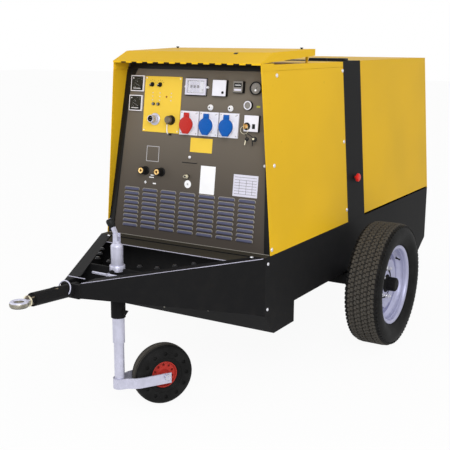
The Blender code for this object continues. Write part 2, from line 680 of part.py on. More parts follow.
# ---- drawbar -----------------------------------------------------------------------------
BAR_END = (BASE_WIDTH / 2, -BASE_NOSE - GAP)
BAR_SLOPE = (BAR_END[0] - NOSE_HALF) / (BAR_END[1] - NOSE_Y)     # x gained per y
BAR_ANGLE = math.atan(BAR_SLOPE)


def bar_outside(y):
    return NOSE_HALF + (y - NOSE_Y) * BAR_SLOPE


def bar_inside(y):
    return bar_outside(y) - BAR_PLATE / math.cos(BAR_ANGLE) - GAP


def drawbar_plates():
    """Tapering side plates with a flange folded inwards along the top."""
    for side, name in ((-1, "drawbar_left"), (1, "drawbar_right")):
        web = [(NOSE_HALF, NOSE_Y), (BAR_END[0], BAR_END[1]),
               (BAR_END[0] - BAR_PLATE / math.cos(BAR_ANGLE), BAR_END[1]),
               (NOSE_HALF - BAR_PLATE / math.cos(BAR_ANGLE), NOSE_Y)]
        web = [(side * x, y) for x, y in web]
        plate = slab(name, BLACK, web, BAR_DEEP, matrix=Matrix.Translation((0, 0, BAR_TOP - BAR_DEEP / 2)))
        low = BAR_TOP - BAR_DEEP
        wedge = [(NOSE_Y - 0.02, low - 0.02), (BAR_END[1], low - 0.02), (BAR_END[1], low),
                 (NOSE_Y, BAR_TOP - BAR_SHALLOW), (NOSE_Y - 0.02, BAR_TOP - BAR_SHALLOW)]
        cut(plate, slab("bar_wedge", None, wedge, 2 * BASE_WIDTH, matrix=ACROSS))
        inner = BAR_FLANGE / math.cos(BAR_ANGLE)
        nose = NOSE_Y + (inner - NOSE_HALF + BAR_FLANGE_NOSE) / BAR_SLOPE
        flange = [(NOSE_HALF - 0.001, NOSE_Y + 0.0001), (BAR_END[0] - 0.001, BAR_END[1] - 0.0001),
                  (BAR_END[0] - inner, BAR_END[1] - 0.0001), (bar_outside(nose) - inner, nose),
                  (BAR_FLANGE_NOSE, NOSE_Y + 0.0001)]
        flange = [(side * x, y) for x, y in flange]
        lid = slab("bar_flange", None, flange, BAR_PLATE - 0.0002,
                   matrix=Matrix.Translation((0, 0, BAR_TOP - BAR_PLATE / 2 - 0.0001)))
        fuse(plate, lid)


def drawbar_tray():
    """Cross sheet between the plates, just in front of the base."""
    rear, front = -BASE_NOSE - GAP, -BASE_NOSE - TRAY_DEPTH
    top = BAR_TOP - BAR_PLATE - GAP
    outline = [(-bar_inside(rear), rear), (-bar_inside(front), front), (bar_inside(front), front),
               (bar_inside(rear), rear)]
    slab("drawbar_tray", BLACK, outline, BAR_PLATE,
         matrix=Matrix.Translation((0, 0, top - BAR_PLATE / 2)))


def drawbar_nose():
    """Nose block between the plates' ends and the tube that takes the towing eye."""
    low, high = BAR_TOP - BAR_SHALLOW, BAR_TOP
    wide = NOSE_HALF + 0.004
    face = box("drawbar_nose", BLACK, (-wide, NOSE_Y - 0.010, low), (wide, NOSE_Y - GAP, high))
    tube = rod("nose_tube", None, TOW_TUBE_RADIUS, (0, NOSE_Y + 0.030, TOW_Z - 0.018),
               (0, TOW_TUBE_END, TOW_Z), sides=24)
    bore = rod("nose_bore", None, SHANK_RADIUS + GAP, (0, NOSE_Y - 0.080, TOW_Z),
               (0, TOW_TUBE_END - 0.05, TOW_Z), sides=24)
    return cut(fuse(face, tube), bore)


def tow_eye():
    """Flat ring with a vertical hole on a round shank."""
    crown = [(EYE_RADIUS - EYE_THICK / 3 + x, z) for x, z in arc(EYE_THICK / 3, 60, -60, 3)]
    profile = [(EYE_HOLE + 0.003, EYE_THICK / 2), (EYE_RADIUS - 0.008, EYE_THICK / 2)] + crown
    profile += [(EYE_RADIUS - 0.008, -EYE_THICK / 2), (EYE_HOLE + 0.003, -EYE_THICK / 2),
                (EYE_HOLE, -EYE_THICK / 4), (EYE_HOLE, EYE_THICK / 4)]
    ring = turned("tow_eye", STEEL, profile, 16, matrix=Matrix.Translation((0, EYE_Y, TOW_Z + 0.010)))
    start = EYE_Y + EYE_HOLE + 0.006
    neck = rod("eye_neck", None, 0.011, (0, start, TOW_Z + 0.010), (0, start + 0.030, TOW_Z), sides=24,
               tip=SHANK_RADIUS)
    shank = rod("eye_shank", None, SHANK_RADIUS, (0, start + 0.026, TOW_Z), (0, NOSE_Y - 0.085, TOW_Z),
                sides=24)
    return fuse(ring, neck, shank)


# ---- jockey wheel ------------------------------------------------------------------------
def jockey_socket():
    """Upright socket on the drawbar's centreline with its cross plate and clamp boss."""
    low, high = MAST_SOCKET
    under, thick = CROSS_PLATE
    front, rear = MAST_Y - thick / 2, MAST_Y + thick / 2
    outline = [(-bar_inside(front), front), (bar_inside(front), front), (bar_inside(rear), rear),
               (-bar_inside(rear), rear)]
    top = BAR_TOP - BAR_PLATE - GAP
    socket = slab("jockey_socket", BLACK, outline, top - under,
                  matrix=Matrix.Translation((0, 0, (top + under) / 2)))
    outside = MAST_RADIUS + GAP + SOCKET_WALL
    tube = rod("socket_tube", None, outside, (0, MAST_Y, low), (0, MAST_Y, high), sides=24)
    boss = rod("clamp_boss", None, 0.012, (0, MAST_Y - outside + 0.003, CLAMP_Z),
               (0, MAST_Y - outside - CLAMP_BOSS, CLAMP_Z), sides=20)
    bore = rod("socket_bore", None, MAST_RADIUS + GAP, (0, MAST_Y, low - 0.05),
               (0, MAST_Y, high + 0.05), sides=24)
    thread = rod("clamp_thread", None, CLAMP_THREAD + GAP, (0, MAST_Y, CLAMP_Z),
                 (0, MAST_Y - 0.1, CLAMP_Z), sides=16)
    return cut(fuse(socket, tube, boss), bore, thread)


def clamp_screw():
    start = MAST_Y - MAST_RADIUS - 2 * GAP
    end = MAST_Y - MAST_RADIUS - SOCKET_WALL - CLAMP_BOSS - 0.016
    pivot = empty("clamp_axis", (0, start, CLAMP_Z), None, FRAME)
    screw = rod("clamp_screw", ZINC, CLAMP_THREAD, (0, 0, 0), (0, end - start, 0), pivot, 16)
    tee = rod("clamp_tee", None, 0.005, (-TEE_LENGTH / 2, end - start + 0.006, 0),
              (TEE_LENGTH / 2, end - start + 0.006, 0), pivot, 16)
    return fuse(screw, tee)


def jockey_mast():
    """Outer tube with a domed cap; open at the bottom for the sliding stem."""
    inside = STEM_TUBE_RADIUS + GAP
    neck = SPINDLE_RADIUS + GAP
    profile = [(neck, MAST_TOP), (MAST_RADIUS - 0.008, MAST_TOP), (MAST_RADIUS - 0.001, MAST_TOP - 0.008),
               (MAST_RADIUS, MAST_TOP - 0.012), (MAST_RADIUS, MAST_BOTTOM), (inside, MAST_BOTTOM),
               (inside, MAST_TOP - 0.020), (neck, MAST_TOP - 0.020)]
    turned("jockey_mast", ZINC, profile, 24, matrix=Matrix.Translation((0, MAST_Y, 0)))


def crank():
    """Spindle with a forked head, a folding arm and a spinning knob."""
    spindle_end = STEM_TUBE_TOP - 0.200
    head = MAST_TOP + GAP
    yoke = rod("crank_spindle", ZINC, 0.016, (0, MAST_Y, head), (0, MAST_Y, head + 0.010), sides=24)
    fuse(yoke, rod("spindle_screw", None, SPINDLE_RADIUS, (0, MAST_Y, spindle_end),
                   (0, MAST_Y, head + 0.005), sides=16))
    for side in (-1, 1):
        y = MAST_Y + side * 0.0095
        fuse(yoke, box("yoke_ear", None, (-0.010, y - 0.0025, head + 0.005),
                       (0.010, y + 0.0025, CRANK_PIVOT + 0.010)))
    pivot = empty("crank_fold", (0, MAST_Y, CRANK_PIVOT), Matrix.Rotation(CRANK_LEAN, 4, "Y"), FRAME)
    arm = box("crank_arm", ZINC, (-0.007, -0.0065, -0.008), (0.007, 0.0065, CRANK_REACH), pivot)
    fuse(arm, rod("arm_pin", None, 0.003, (0, -0.0067, 0), (0, 0.0067, 0), pivot, 12))
    fuse(arm, rod("knob_spindle", None, KNOB_PIN, (0, 0, CRANK_REACH - 0.003),
                  (0, 0, CRANK_REACH + 0.020), pivot, 16))
    spin = empty("knob_axis", (0, 0, CRANK_REACH + GAP), None, pivot)
    high = KNOB_HEIGHT
    knob = [(0, high), (KNOB_RADIUS * 0.6, high - 0.001), (KNOB_RADIUS * 0.93, high - 0.006),
            (KNOB_RADIUS, high - 0.012), (KNOB_RADIUS * 0.85, high - 0.019), (0.010, high - 0.026),
            (0.009, 0), (KNOB_PIN + GAP, 0), (KNOB_PIN + GAP, 0.022), (0, 0.022)]
    turned("crank_knob", DARK, knob, 20, spin)


CASTOR = empty("castor_axis", (0, MAST_Y, 0), Matrix.Rotation(CASTOR_ANGLE, 4, "Z"), FRAME)


def jockey_stem():
    """The nut that the spindle drives, and the sliding tube that swivels under it."""
    nut_low = STEM_TUBE_TOP + GAP
    ring = [(STEM_TUBE_RADIUS, nut_low + NUT_HEIGHT), (STEM_TUBE_RADIUS, nut_low),
            (SPINDLE_RADIUS + GAP, nut_low), (SPINDLE_RADIUS + GAP, nut_low + NUT_HEIGHT)]
    turned("jack_nut", STEEL, ring, 24, matrix=Matrix.Translation((0, MAST_Y, 0)))
    bore = STEM_TUBE_RADIUS - 0.004
    tube = [(STEM_TUBE_RADIUS, STEM_TUBE_TOP), (STEM_TUBE_RADIUS, STEM_TUBE_BOTTOM + 0.004),
            (STEM_TUBE_RADIUS - 0.003, STEM_TUBE_BOTTOM), (bore, STEM_TUBE_BOTTOM), (bore, STEM_TUBE_TOP)]
    turned("jockey_stem", ZINC, tube, 24, CASTOR)


def fork_half():
    return JOCKEY_WIDTH / 2 + FORK_CLEAR + FORK_BAR / 2


def jockey_fork():
    """Flat bar bent round the stem and along both sides of the wheel."""
    bend = STEM_TUBE_RADIUS + GAP + FORK_BAR / 2
    leg = fork_half()
    path = [(leg, CASTOR_TRAIL + 0.020), (leg, 0.075), (leg - 0.004, 0.055), (bend + 0.002, 0.022)]
    path += list(arc(bend, 0, -180, 12))
    path += [(-x, y) for x, y in reversed(path[:4])]
    low = STEM_TUBE_BOTTOM + GAP
    fork = slab("jockey_fork", ZINC, ribbon(path, FORK_BAR), FORK_HEIGHT, CASTOR,
                Matrix.Translation((0, 0, low + FORK_HEIGHT / 2)))
    reach = leg + 0.02
    hole = rod("fork_hole", None, AXLE_BOLT + GAP, (-reach, CASTOR_TRAIL, JOCKEY_RADIUS),
               (reach, CASTOR_TRAIL, JOCKEY_RADIUS), CASTOR, 16)
    return cut(fork, hole)


def jockey_axle():
    side = fork_half() + FORK_BAR / 2 + GAP
    bolt = rod("jockey_axle", ZINC, AXLE_BOLT, (-side - 0.008, CASTOR_TRAIL, JOCKEY_RADIUS),
               (side + 0.012, CASTOR_TRAIL, JOCKEY_RADIUS), CASTOR, 16)
    for sign in (-1, 1):
        fuse(bolt, rod("bolt_head", None, 0.010, (sign * side, CASTOR_TRAIL, JOCKEY_RADIUS),
                       (sign * (side + 0.007), CASTOR_TRAIL, JOCKEY_RADIUS), CASTOR, 6))
    return bolt


def jockey_wheel():
    spin = empty("jockey_spin", (0, CASTOR_TRAIL, JOCKEY_RADIUS), ALONG_X, CASTOR)
    bore = AXLE_BOLT + GAP
    boss = JOCKEY_WIDTH / 2 + FORK_CLEAR - 0.0005
    hub = [(0.014, boss), (0.015, boss - 0.010), (0.020, 0.022), (0.044, 0.018), (0.050, 0.024),
           (JOCKEY_HUB, 0.024), (JOCKEY_HUB, -0.024), (0.050, -0.024), (0.044, -0.018), (0.020, -0.022),
           (0.015, 0.010 - boss), (0.014, -boss), (bore, -boss), (bore, boss)]
    turned("jockey_hub", RED, hub, 24, spin)
    half, high = JOCKEY_WIDTH / 2, JOCKEY_RADIUS
    inside = JOCKEY_HUB + GAP
    tyre = [(high, 0.010), (high, -0.010), (high - 0.003, 0.014 - half), (high - 0.014, 0.003 - half),
            (high - 0.030, -half), (inside + 0.012, 0.003 - half), (inside, 0.010 - half),
            (inside, half - 0.010), (inside + 0.012, half - 0.003), (high - 0.030, half),
            (high - 0.014, half - 0.003),
            (high - 0.003, half - 0.014)]
    turned("jockey_tyre", RUBBER, tyre, 24, spin)


# ---- engine bay --------------------------------------------------------------------------
def alternator():
    y, length, outer, bore = ALTERNATOR
    shape = [(outer, length), (outer, 0), (bore, 0), (bore, length)]
    axis = empty("shaft_axis", (0, y, SHAFT_Z), ALONG_Y, FRAME)
    stator = turned("alternator_stator", IRON, shape, 24, axis)
    for side in (-1, 1):
        fuse(stator, box("stator_foot", None, (side * 0.12 - 0.03, y + 0.06, BAY_FLOOR + GAP),
                         (side * 0.12 + 0.03, y + length - 0.06, SHAFT_Z - outer * 0.72)))
    end = ENGINE_FROM - y - GAP
    rotor = [(0, end), (SHAFT_RADIUS, end), (SHAFT_RADIUS, length - 0.03), (ROTOR_RADIUS, length - 0.03),
             (ROTOR_RADIUS, 0.03), (SHAFT_RADIUS, 0.03), (SHAFT_RADIUS, 0.005), (0, 0.005)]
    turned("alternator_rotor", STEEL, rotor, 24, axis)


ENGINE_FROM = ALTERNATOR[0] + ALTERNATOR[1] + 0.020


def engine():
    low = BAY_FLOOR + FOOT_HEIGHT
    half = ENGINE_WIDTH / 2
    y_to = ENGINE_FROM + ENGINE_LENGTH
    block = box("engine_block", IRON, (-half, ENGINE_FROM, low), (half, y_to, low + ENGINE_HEIGHT))
    wall = ENGINE_WALL
    cut(block, box("crankcase", None, (-half + wall, ENGINE_FROM + wall, low - 0.01),
                   (half - wall, y_to - wall, low + ENGINE_HEIGHT - 2 * wall)))
    for y in (ENGINE_FROM + 0.08, y_to - 0.08):
        for side in (-1, 1):
            x = side * (half - wall / 2)
            fuse(block, box("engine_foot", None, (x - wall / 2 + 0.001, y - 0.03, BAY_FLOOR + GAP),
                            (x + wall / 2 - 0.001, y + 0.03, low + 0.01)))
    head = box("engine_head", None, (-half * 0.6, ENGINE_FROM + 0.05, low + ENGINE_HEIGHT - 0.01),
               (half * 0.6, y_to - 0.05, low + ENGINE_HEIGHT + 0.08))
    return fuse(block, head)


def cooling():
    engine_end = ENGINE_FROM + ENGINE_LENGTH
    hub_end = engine_end + 0.070
    axis = empty("fan_axis", (0, engine_end + GAP, SHAFT_Z), ALONG_Y, FRAME)
    boss = [(0, 0.070), (0.045, 0.070), (0.045, 0.020), (0.020, 0.018), (0.020, 0), (0, 0)]
    fan = turned("fan", DARK, boss, 24, axis)
    for i in range(6):
        turn = Matrix.Rotation(math.radians(60 * i), 4, "Z") @ Matrix.Rotation(math.radians(30), 4, "X")
        blade = box("fan_blade", None, (0.035, -0.022, -0.002), (FAN_RADIUS, 0.022, 0.002), axis,
                    Matrix.Translation((0, 0, 0.045)) @ turn)
        fuse(fan, blade)
    front = hub_end + 0.030
    half = BASE_WIDTH / 2 - 0.110
    top = ROOF_TOP - 0.300
    core = box("radiator", FINNED, (-half, front, BAY_FLOOR + 0.080), (half, front + RADIATOR_THICK, top))
    for side in (-1, 1):
        x = side * (half - 0.04)
        fuse(core, box("radiator_leg", None, (x - 0.02, front + 0.01, BAY_FLOOR + GAP),
                       (x + 0.02, front + RADIATOR_THICK - 0.01, BAY_FLOOR + 0.09)))
    return core


def muffler():
    """Silencer beside the cylinder head, held by its down pipe on the block."""
    deck = BAY_FLOOR + FOOT_HEIGHT + ENGINE_HEIGHT
    x, z = -ENGINE_WIDTH / 2 + 0.010, deck + 0.250
    y_from = ENGINE_FROM + 0.090
    y_to = y_from + MUFFLER_LENGTH
    can = rod("muffler", STEEL, MUFFLER_RADIUS, (x, y_from, z), (x, y_to, z), sides=28)
    hollow = rod("muffler_hollow", None, MUFFLER_RADIUS - MUFFLER_WALL, (x, y_from + MUFFLER_WALL, z),
                 (x, y_to - MUFFLER_WALL, z), sides=28)
    outlet = rod("muffler_outlet", None, PIPE_RADIUS, (x, y_to - 0.05, z), (x, y_to + 0.05, z), sides=16)
    pipe_x, pipe_y = x + 0.030, y_from + 0.20
    pipe = rod("down_pipe", None, PIPE_RADIUS, (pipe_x, pipe_y, deck + GAP), (pipe_x, pipe_y, z - 0.03),
               sides=16)
    return cut(fuse(can, pipe), hollow, outlet)


def tank_and_battery():
    """Both stand side by side in the tray's front foot."""
    y_from, y_to = FRONT_FOOT[0] + TRAY_WALL + GAP, FRONT_FOOT[1] - TRAY_WALL - GAP
    inside = BASE_WIDTH / 2 - TRAY_WALL - 0.030
    split = inside - BATTERY[0] - 0.030
    low = FRONT_FOOT[2] + TRAY_WALL + GAP
    box("fuel_tank", DARK, (-inside, y_from, low), (split, y_to, low + TANK_HEIGHT))
    box("battery", DARK, (split + 0.030, y_from, low), (inside, y_to, low + BATTERY[1]))


def build():
    base_tray()
    hoop()
    stop_button()
    front_sides()
    front_deck()
    canopy()
    rear_hood()
    rear_doors()
    control_panel()
    control_plate()
    breaker_box()
    power_sockets()
    key_switch()
    push_button()
    weld_sockets()
    axle_beam()
    for side, name in ((-1, "left"), (1, "right")):
        road_wheel(side, name)
    drawbar_plates()
    drawbar_tray()
    drawbar_nose()
    tow_eye()
    jockey_socket()
    clamp_screw()
    jockey_mast()
    crank()
    jockey_stem()
    jockey_fork()
    jockey_axle()
    jockey_wheel()
    alternator()
    engine()
    cooling()
    muffler()
    tank_and_battery()


build()
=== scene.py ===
from math import atan, atan2, cos, degrees, hypot, pi, radians, sin, tan

import bpy
from mathutils import Matrix, Vector


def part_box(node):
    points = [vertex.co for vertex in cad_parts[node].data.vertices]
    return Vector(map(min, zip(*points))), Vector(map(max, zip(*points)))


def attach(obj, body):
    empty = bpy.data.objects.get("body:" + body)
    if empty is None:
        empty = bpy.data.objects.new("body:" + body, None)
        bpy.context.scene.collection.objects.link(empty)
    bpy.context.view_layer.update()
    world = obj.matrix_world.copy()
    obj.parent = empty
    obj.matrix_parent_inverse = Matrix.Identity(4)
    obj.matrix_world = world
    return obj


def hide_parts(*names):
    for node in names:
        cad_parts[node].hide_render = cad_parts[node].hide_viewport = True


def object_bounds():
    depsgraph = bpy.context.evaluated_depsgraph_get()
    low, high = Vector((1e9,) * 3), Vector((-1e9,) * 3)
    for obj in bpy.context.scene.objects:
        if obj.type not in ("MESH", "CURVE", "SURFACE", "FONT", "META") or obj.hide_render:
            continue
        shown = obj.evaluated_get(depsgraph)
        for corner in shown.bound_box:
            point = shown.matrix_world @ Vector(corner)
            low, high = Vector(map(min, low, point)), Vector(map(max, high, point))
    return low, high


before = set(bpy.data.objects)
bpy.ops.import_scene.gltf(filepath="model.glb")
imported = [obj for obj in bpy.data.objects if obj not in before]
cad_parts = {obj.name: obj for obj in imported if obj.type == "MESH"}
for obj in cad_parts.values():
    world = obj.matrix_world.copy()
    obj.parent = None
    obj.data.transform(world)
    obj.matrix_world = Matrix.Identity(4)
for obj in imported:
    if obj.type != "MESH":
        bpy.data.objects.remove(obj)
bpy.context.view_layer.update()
print("frame loaded:", len(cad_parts), "nodes")


# points closer than this are one point
weldGap = 0.00002
moveBy = Matrix.Translation


def turnBy(angle, axis):
    return Matrix.Rotation(angle, 4, axis)


def upward(centre, normal):
    return normal.z > 0.9


def setMode(mode):
    bpy.ops.object.mode_set(mode=mode)


def selectMesh(action):
    bpy.ops.mesh.select_all(action=action)


def clearSelection():
    if bpy.context.object and bpy.context.object.mode != "OBJECT":
        setMode("OBJECT")
    bpy.ops.object.select_all(action="DESELECT")


def pickPiece(piece):
    clearSelection()
    piece.select_set(True)
    bpy.context.view_layer.objects.active = piece


def settle(piece):
    # the place goes into the mesh, so every finished piece sits at the origin
    pickPiece(piece)
    bpy.ops.object.transform_apply(location=True, rotation=True, scale=True)
    return piece


def place(piece, spot):
    piece.matrix_world = spot
    return settle(piece)


def painted(piece, finish):
    if finish:
        usePaint(piece, finish)
    return piece


def addBlock(name, size, at=(0, 0, 0), finish=None, well=None, bevel=0, segments=2):
    clearSelection()
    bpy.ops.mesh.primitive_cube_add(size=1, location=at)
    piece = bpy.context.object
    piece.name = name
    piece.scale = size
    settle(piece)
    if well:
        pushFaces(piece, upward, *well)
    if bevel:
        roundEdges(piece, bevel, segments)
    return painted(piece, finish)


def addRound(name, radius, depth, at=(0, 0, 0), steps=32, tip=None, turned=(0, 0, 0), finish=None):
    # stands on its place, and grows along Z
    clearSelection()
    bpy.ops.mesh.primitive_cone_add(vertices=steps, radius1=radius, radius2=radius if tip is None else tip,
        depth=depth)
    piece = bpy.context.object
    piece.name = name
    spot = turnBy(turned[2], "Z") @ turnBy(turned[1], "Y")
    spot = spot @ turnBy(turned[0], "X")
    place(piece, moveBy(at) @ spot @ moveBy((0, 0, depth / 2)))
    return painted(piece, finish)


def turnOutline(name, outline, steps, finish=None):
    # a row of points drawn out one after the other, closed, then spun round Z
    if outline[-1][0] > 0:
        outline = outline + [outline[0]]
    elif outline[0][0] > 0:
        outline = [(0, outline[0][1])] + outline
    clearSelection()
    bpy.ops.mesh.primitive_plane_add(size=0.01)
    piece = bpy.context.object
    piece.name = name
    setMode("EDIT")
    bpy.ops.mesh.select_mode(type="VERT")
    selectMesh("SELECT")
    bpy.ops.mesh.merge(type="CENTER")
    bpy.ops.transform.translate(value=(outline[0][0], 0, outline[0][1]))
    for (radius, height), (nextRadius, nextHeight) in zip(outline, outline[1:]):
        step = (nextRadius - radius, 0, nextHeight - height)
        bpy.ops.mesh.extrude_region_move(TRANSFORM_OT_translate={"value": step})
    selectMesh("SELECT")
    bpy.ops.mesh.spin(steps=steps, angle=2 * pi, center=(0, 0, 0), axis=(0, 0, 1))
    selectMesh("SELECT")
    bpy.ops.mesh.remove_doubles(threshold=weldGap)
    bpy.ops.mesh.normals_make_consistent(inside=False)
    setMode("OBJECT")
    return painted(piece, finish)


def pickParts(piece, kind, choose):
    # leaves the piece in edit mode with the chosen faces or points selected
    pickPiece(piece)
    setMode("EDIT")
    bpy.ops.mesh.select_mode(type=kind)
    selectMesh("DESELECT")
    setMode("OBJECT")
    for part in piece.data.polygons if kind == "FACE" else piece.data.vertices:
        part.select = bool(choose(part.center, part.normal) if kind == "FACE" else choose(part.co))
    setMode("EDIT")


def movePoints(piece, choose, step):
    pickParts(piece, "VERT", choose)
    bpy.ops.transform.translate(value=step)
    setMode("OBJECT")


def pushFaces(piece, choose, border, depth, each=False):
    # insets the chosen faces, then moves them along their normals
    pickParts(piece, "FACE", choose)
    if border:
        bpy.ops.mesh.inset(thickness=border, depth=0, use_individual=each)
    if depth:
        bpy.ops.mesh.inset(thickness=0, depth=depth, use_individual=each)
    setMode("OBJECT")


def cutAway(piece, at, normal, fill=True):
    # keeps what lies in front of the plane
    pickPiece(piece)
    setMode("EDIT")
    selectMesh("SELECT")
    bpy.ops.mesh.bisect(plane_co=at, plane_no=normal, use_fill=fill, clear_inner=True)
    setMode("OBJECT")


def useModifier(piece, kind, **settings):
    pickPiece(piece)
    modifier = piece.modifiers.new(kind.title(), kind)
    for key, value in settings.items():
        setattr(modifier, key, value)
    bpy.ops.object.modifier_apply(modifier=modifier.name)


def roundEdges(piece, width, segments=2, angle=35):
    useModifier(piece, "BEVEL", width=width, segments=segments, limit_method="ANGLE",
        angle_limit=radians(angle), harden_normals=False)


def merge(piece, other, operation="UNION"):
    useModifier(piece, "BOOLEAN", object=other, operation=operation, solver="EXACT")
    bpy.data.objects.remove(other)


def joinPieces(pieces, name):
    pickPiece(pieces[0])
    for other in pieces[1:]:
        other.select_set(True)
    bpy.ops.object.join()
    pieces[0].name = name
    return pieces[0]


def repeat(piece, count, offset):
    useModifier(piece, "ARRAY", count=count, use_relative_offset=False, use_constant_offset=True,
        constant_offset_displace=offset)


def ringSpots(count, at=(0, 0, 0), start=0.0):
    # places evenly spaced round Z
    return [turnBy(start + 2 * pi * i / count, "Z") @ moveBy(at) for i in range(count)]


def bothWays(outline):
    # the outline of one half, and its mirror image after it
    return outline + [(radius, -length) for radius, length in reversed(outline)]


def addLoop(name, radius, rod, steps, spot, finish):
    clearSelection()
    bpy.ops.mesh.primitive_torus_add(major_radius=radius, minor_radius=rod, major_segments=steps,
        minor_segments=8)
    loop = place(bpy.context.object, spot)
    loop.name = name
    return painted(loop, finish)


def scatter(piece, spots, name):
    # copies at every spot, joined and handed over with the chassis
    return handOver(copyToSpots(piece, spots, name))


def copyPiece(piece, spot=None):
    pickPiece(piece)
    bpy.ops.object.duplicate()
    copy = bpy.context.object
    if spot is not None:
        place(copy, spot)
    return copy


def copyToSpots(piece, spots, name):
    copies = [copyPiece(piece, spot) for spot in spots]
    bpy.data.objects.remove(piece)
    return joinPieces(copies, name)


def usePaint(piece, finish, choose=None):
    # the whole piece, or only the faces chosen by place and normal
    if choose is None:
        piece.data.materials.clear()
        piece.data.materials.append(finish)
        return
    piece.data.materials.append(finish)
    number = len(piece.data.materials) - 1
    for face in piece.data.polygons:
        if choose(face.center, face.normal):
            face.material_index = number


def handOver(piece, body="chassis", stands=(), smooth=35):
    # last step for each piece: shading, the body it moves with, and hiding the carried-over nodes it stands
    # for
    pickPiece(piece)
    if smooth:
        bpy.ops.object.shade_smooth_by_angle(angle=radians(smooth))
    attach(piece, body)
    if stands:
        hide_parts(*stands)
    return piece


def operator(operation, swapped=False):
    def combine(self, other):
        first, second = (other, self) if swapped else (self, other)
        return self.finish.calculate(operation, first, second)
    return combine


class Level:
    # a number that changes over the surface
    __add__ = operator("ADD")
    __radd__ = operator("ADD", True)
    __sub__ = operator("SUBTRACT")
    __rsub__ = operator("SUBTRACT", True)
    __mul__ = operator("MULTIPLY")
    __rmul__ = operator("MULTIPLY", True)
    __pow__ = operator("POWER")

    def __init__(self, finish, socket):
        self.finish = finish
        self.socket = socket


def addNode(tree, kind, settings, inputs):
    node = tree.nodes.new(kind)
    for key, value in settings.items():
        setattr(node, key, value)
    for key, value in inputs.items():
        if isinstance(value, bpy.types.NodeSocket):
            tree.links.new(value, node.inputs[key])
        else:
            node.inputs[key].default_value = value
    return node


class Finish:
    def __init__(self, name, coat=0.0, coatRoughness=0.1, specular=0.5):
        self.material = bpy.data.materials.new(name)
        self.material.use_nodes = True
        self.tree = self.material.node_tree
        self.shader = self.tree.nodes["Principled BSDF"]
        for socket, value in (("Coat Weight", coat), ("Coat Roughness", coatRoughness),
                ("Specular IOR Level", specular), ("IOR", 1.45)):
            self.shader.inputs[socket].default_value = value
        self.point = Level(self, self.add("ShaderNodeTexCoord", {}, {}).outputs["Object"])
        split = self.add("ShaderNodeSeparateXYZ", {}, {"Vector": self.point})
        self.x, self.y, self.z = (Level(self, out) for out in split.outputs)

    def feed(self, socket, value):
        if isinstance(value, Level):
            self.tree.links.new(value.socket, socket)
        else:
            socket.default_value = value

    def add(self, kind, settings, inputs):
        sockets = {key: value.socket if isinstance(value, Level) else value for key, value in inputs.items()}
        return addNode(self.tree, kind, settings, sockets)

    def calculate(self, operation, *values):
        node = self.add("ShaderNodeMath", {"operation": operation}, dict(enumerate(values)))
        return Level(self, node.outputs[0])

    def noise(self, size, detail=2.0, at=None):
        inputs = {"Vector": self.point if at is None else at, "Scale": 1 / size, "Detail": detail}
        return Level(self, self.add("ShaderNodeTexNoise", {}, inputs).outputs["Fac"])

    def stretch(self, scale):
        node = self.add("ShaderNodeMapping", {}, {"Vector": self.point, "Scale": scale})
        return Level(self, node.outputs[0])

    def fade(self, level, low, high, start=0.0, end=1.0):
        inputs = {"Value": level, "From Min": low, "From Max": high, "To Min": start, "To Max": end}
        node = self.add("ShaderNodeMapRange", {"interpolation_type": "SMOOTHSTEP"}, inputs)
        return Level(self, node.outputs["Result"])

    def along(self, origin, direction):
        # distance from a point, measured along a direction
        moved = self.add("ShaderNodeVectorMath", {"operation": "SUBTRACT"}, {0: self.point, 1: origin})
        node = self.add("ShaderNodeVectorMath", {"operation": "DOT_PRODUCT"},
            {0: Level(self, moved.outputs[0]), 1: direction})
        return Level(self, node.outputs["Value"])

    def away(self, origin):
        node = self.add("ShaderNodeVectorMath", {"operation": "DISTANCE"}, {0: self.point, 1: origin})
        return Level(self, node.outputs["Value"])

    def blend(self, factor, first, second):
        node = self.add("ShaderNodeMix", {"data_type": "RGBA"}, {0: factor, 6: first, 7: second})
        return Level(self, node.outputs[2])

    def bump(self, height, distance, strength=1.0):
        inputs = {"Height": height, "Distance": distance, "Strength": strength}
        node = self.add("ShaderNodeBump", {}, inputs)
        self.feed(self.shader.inputs["Normal"], Level(self, node.outputs[0]))

    def surface(self, colour, roughness, metallic=0.0):
        self.feed(self.shader.inputs["Base Color"], colour)
        self.feed(self.shader.inputs["Roughness"], roughness)
        self.feed(self.shader.inputs["Metallic"], metallic)
        return self.material


def tone(red, green, blue):
    # a screen colour, 0 to 255, as the shader wants it
    channels = []
    for value in (red, green, blue):
        value /= 255
        channels.append(value / 12.92 if value <= 0.04045 else ((value + 0.055) / 1.055) ** 2.4)
    return (*channels, 1)


def darker(colour, share):
    return (*(c * share for c in colour[:3]), 1)


def sprayedSteel(name, colour, roughness, peel, dust, specular, paintedLightTop=None):
    # sprayed paint: faint orange peel, a slow drift in shade, road dust low down, small nicks, and, when a
    # top colour is given, painted light paler towards the top
    finish = Finish(name, specular=specular)
    drift = finish.noise(0.6, 2.0)
    grain = finish.noise(0.0035, 1.0)
    dustColour = tone(150, 140, 120) if max(colour[:3]) > 0.3 else tone(84, 79, 72)
    if paintedLightTop:
        # painted light and shade: the sheet is painted paler towards its top and darker towards its foot
        colour, low = (paintedLightTop, colour)
    shade = finish.blend(finish.fade(drift, 0.3, 0.7), darker(colour, 0.94), darker(colour, 1.04))
    if paintedLightTop:
        shade = finish.blend(finish.fade(finish.z, 0.62, 1.32), low, shade)
    settled = finish.fade(finish.z, 0.95, 0.25) * finish.fade(finish.noise(0.055, 5.0), 0.42, 0.78) * dust
    shade = finish.blend(settled, shade, dustColour)
    nicks = finish.fade(finish.noise(0.018, 6.0), 0.735, 0.765) * 0.5
    shade = finish.blend(nicks, shade, darker(colour, 0.55))
    finish.bump(grain, peel)
    return finish.surface(shade, roughness + 0.18 * settled + 0.1 * drift)


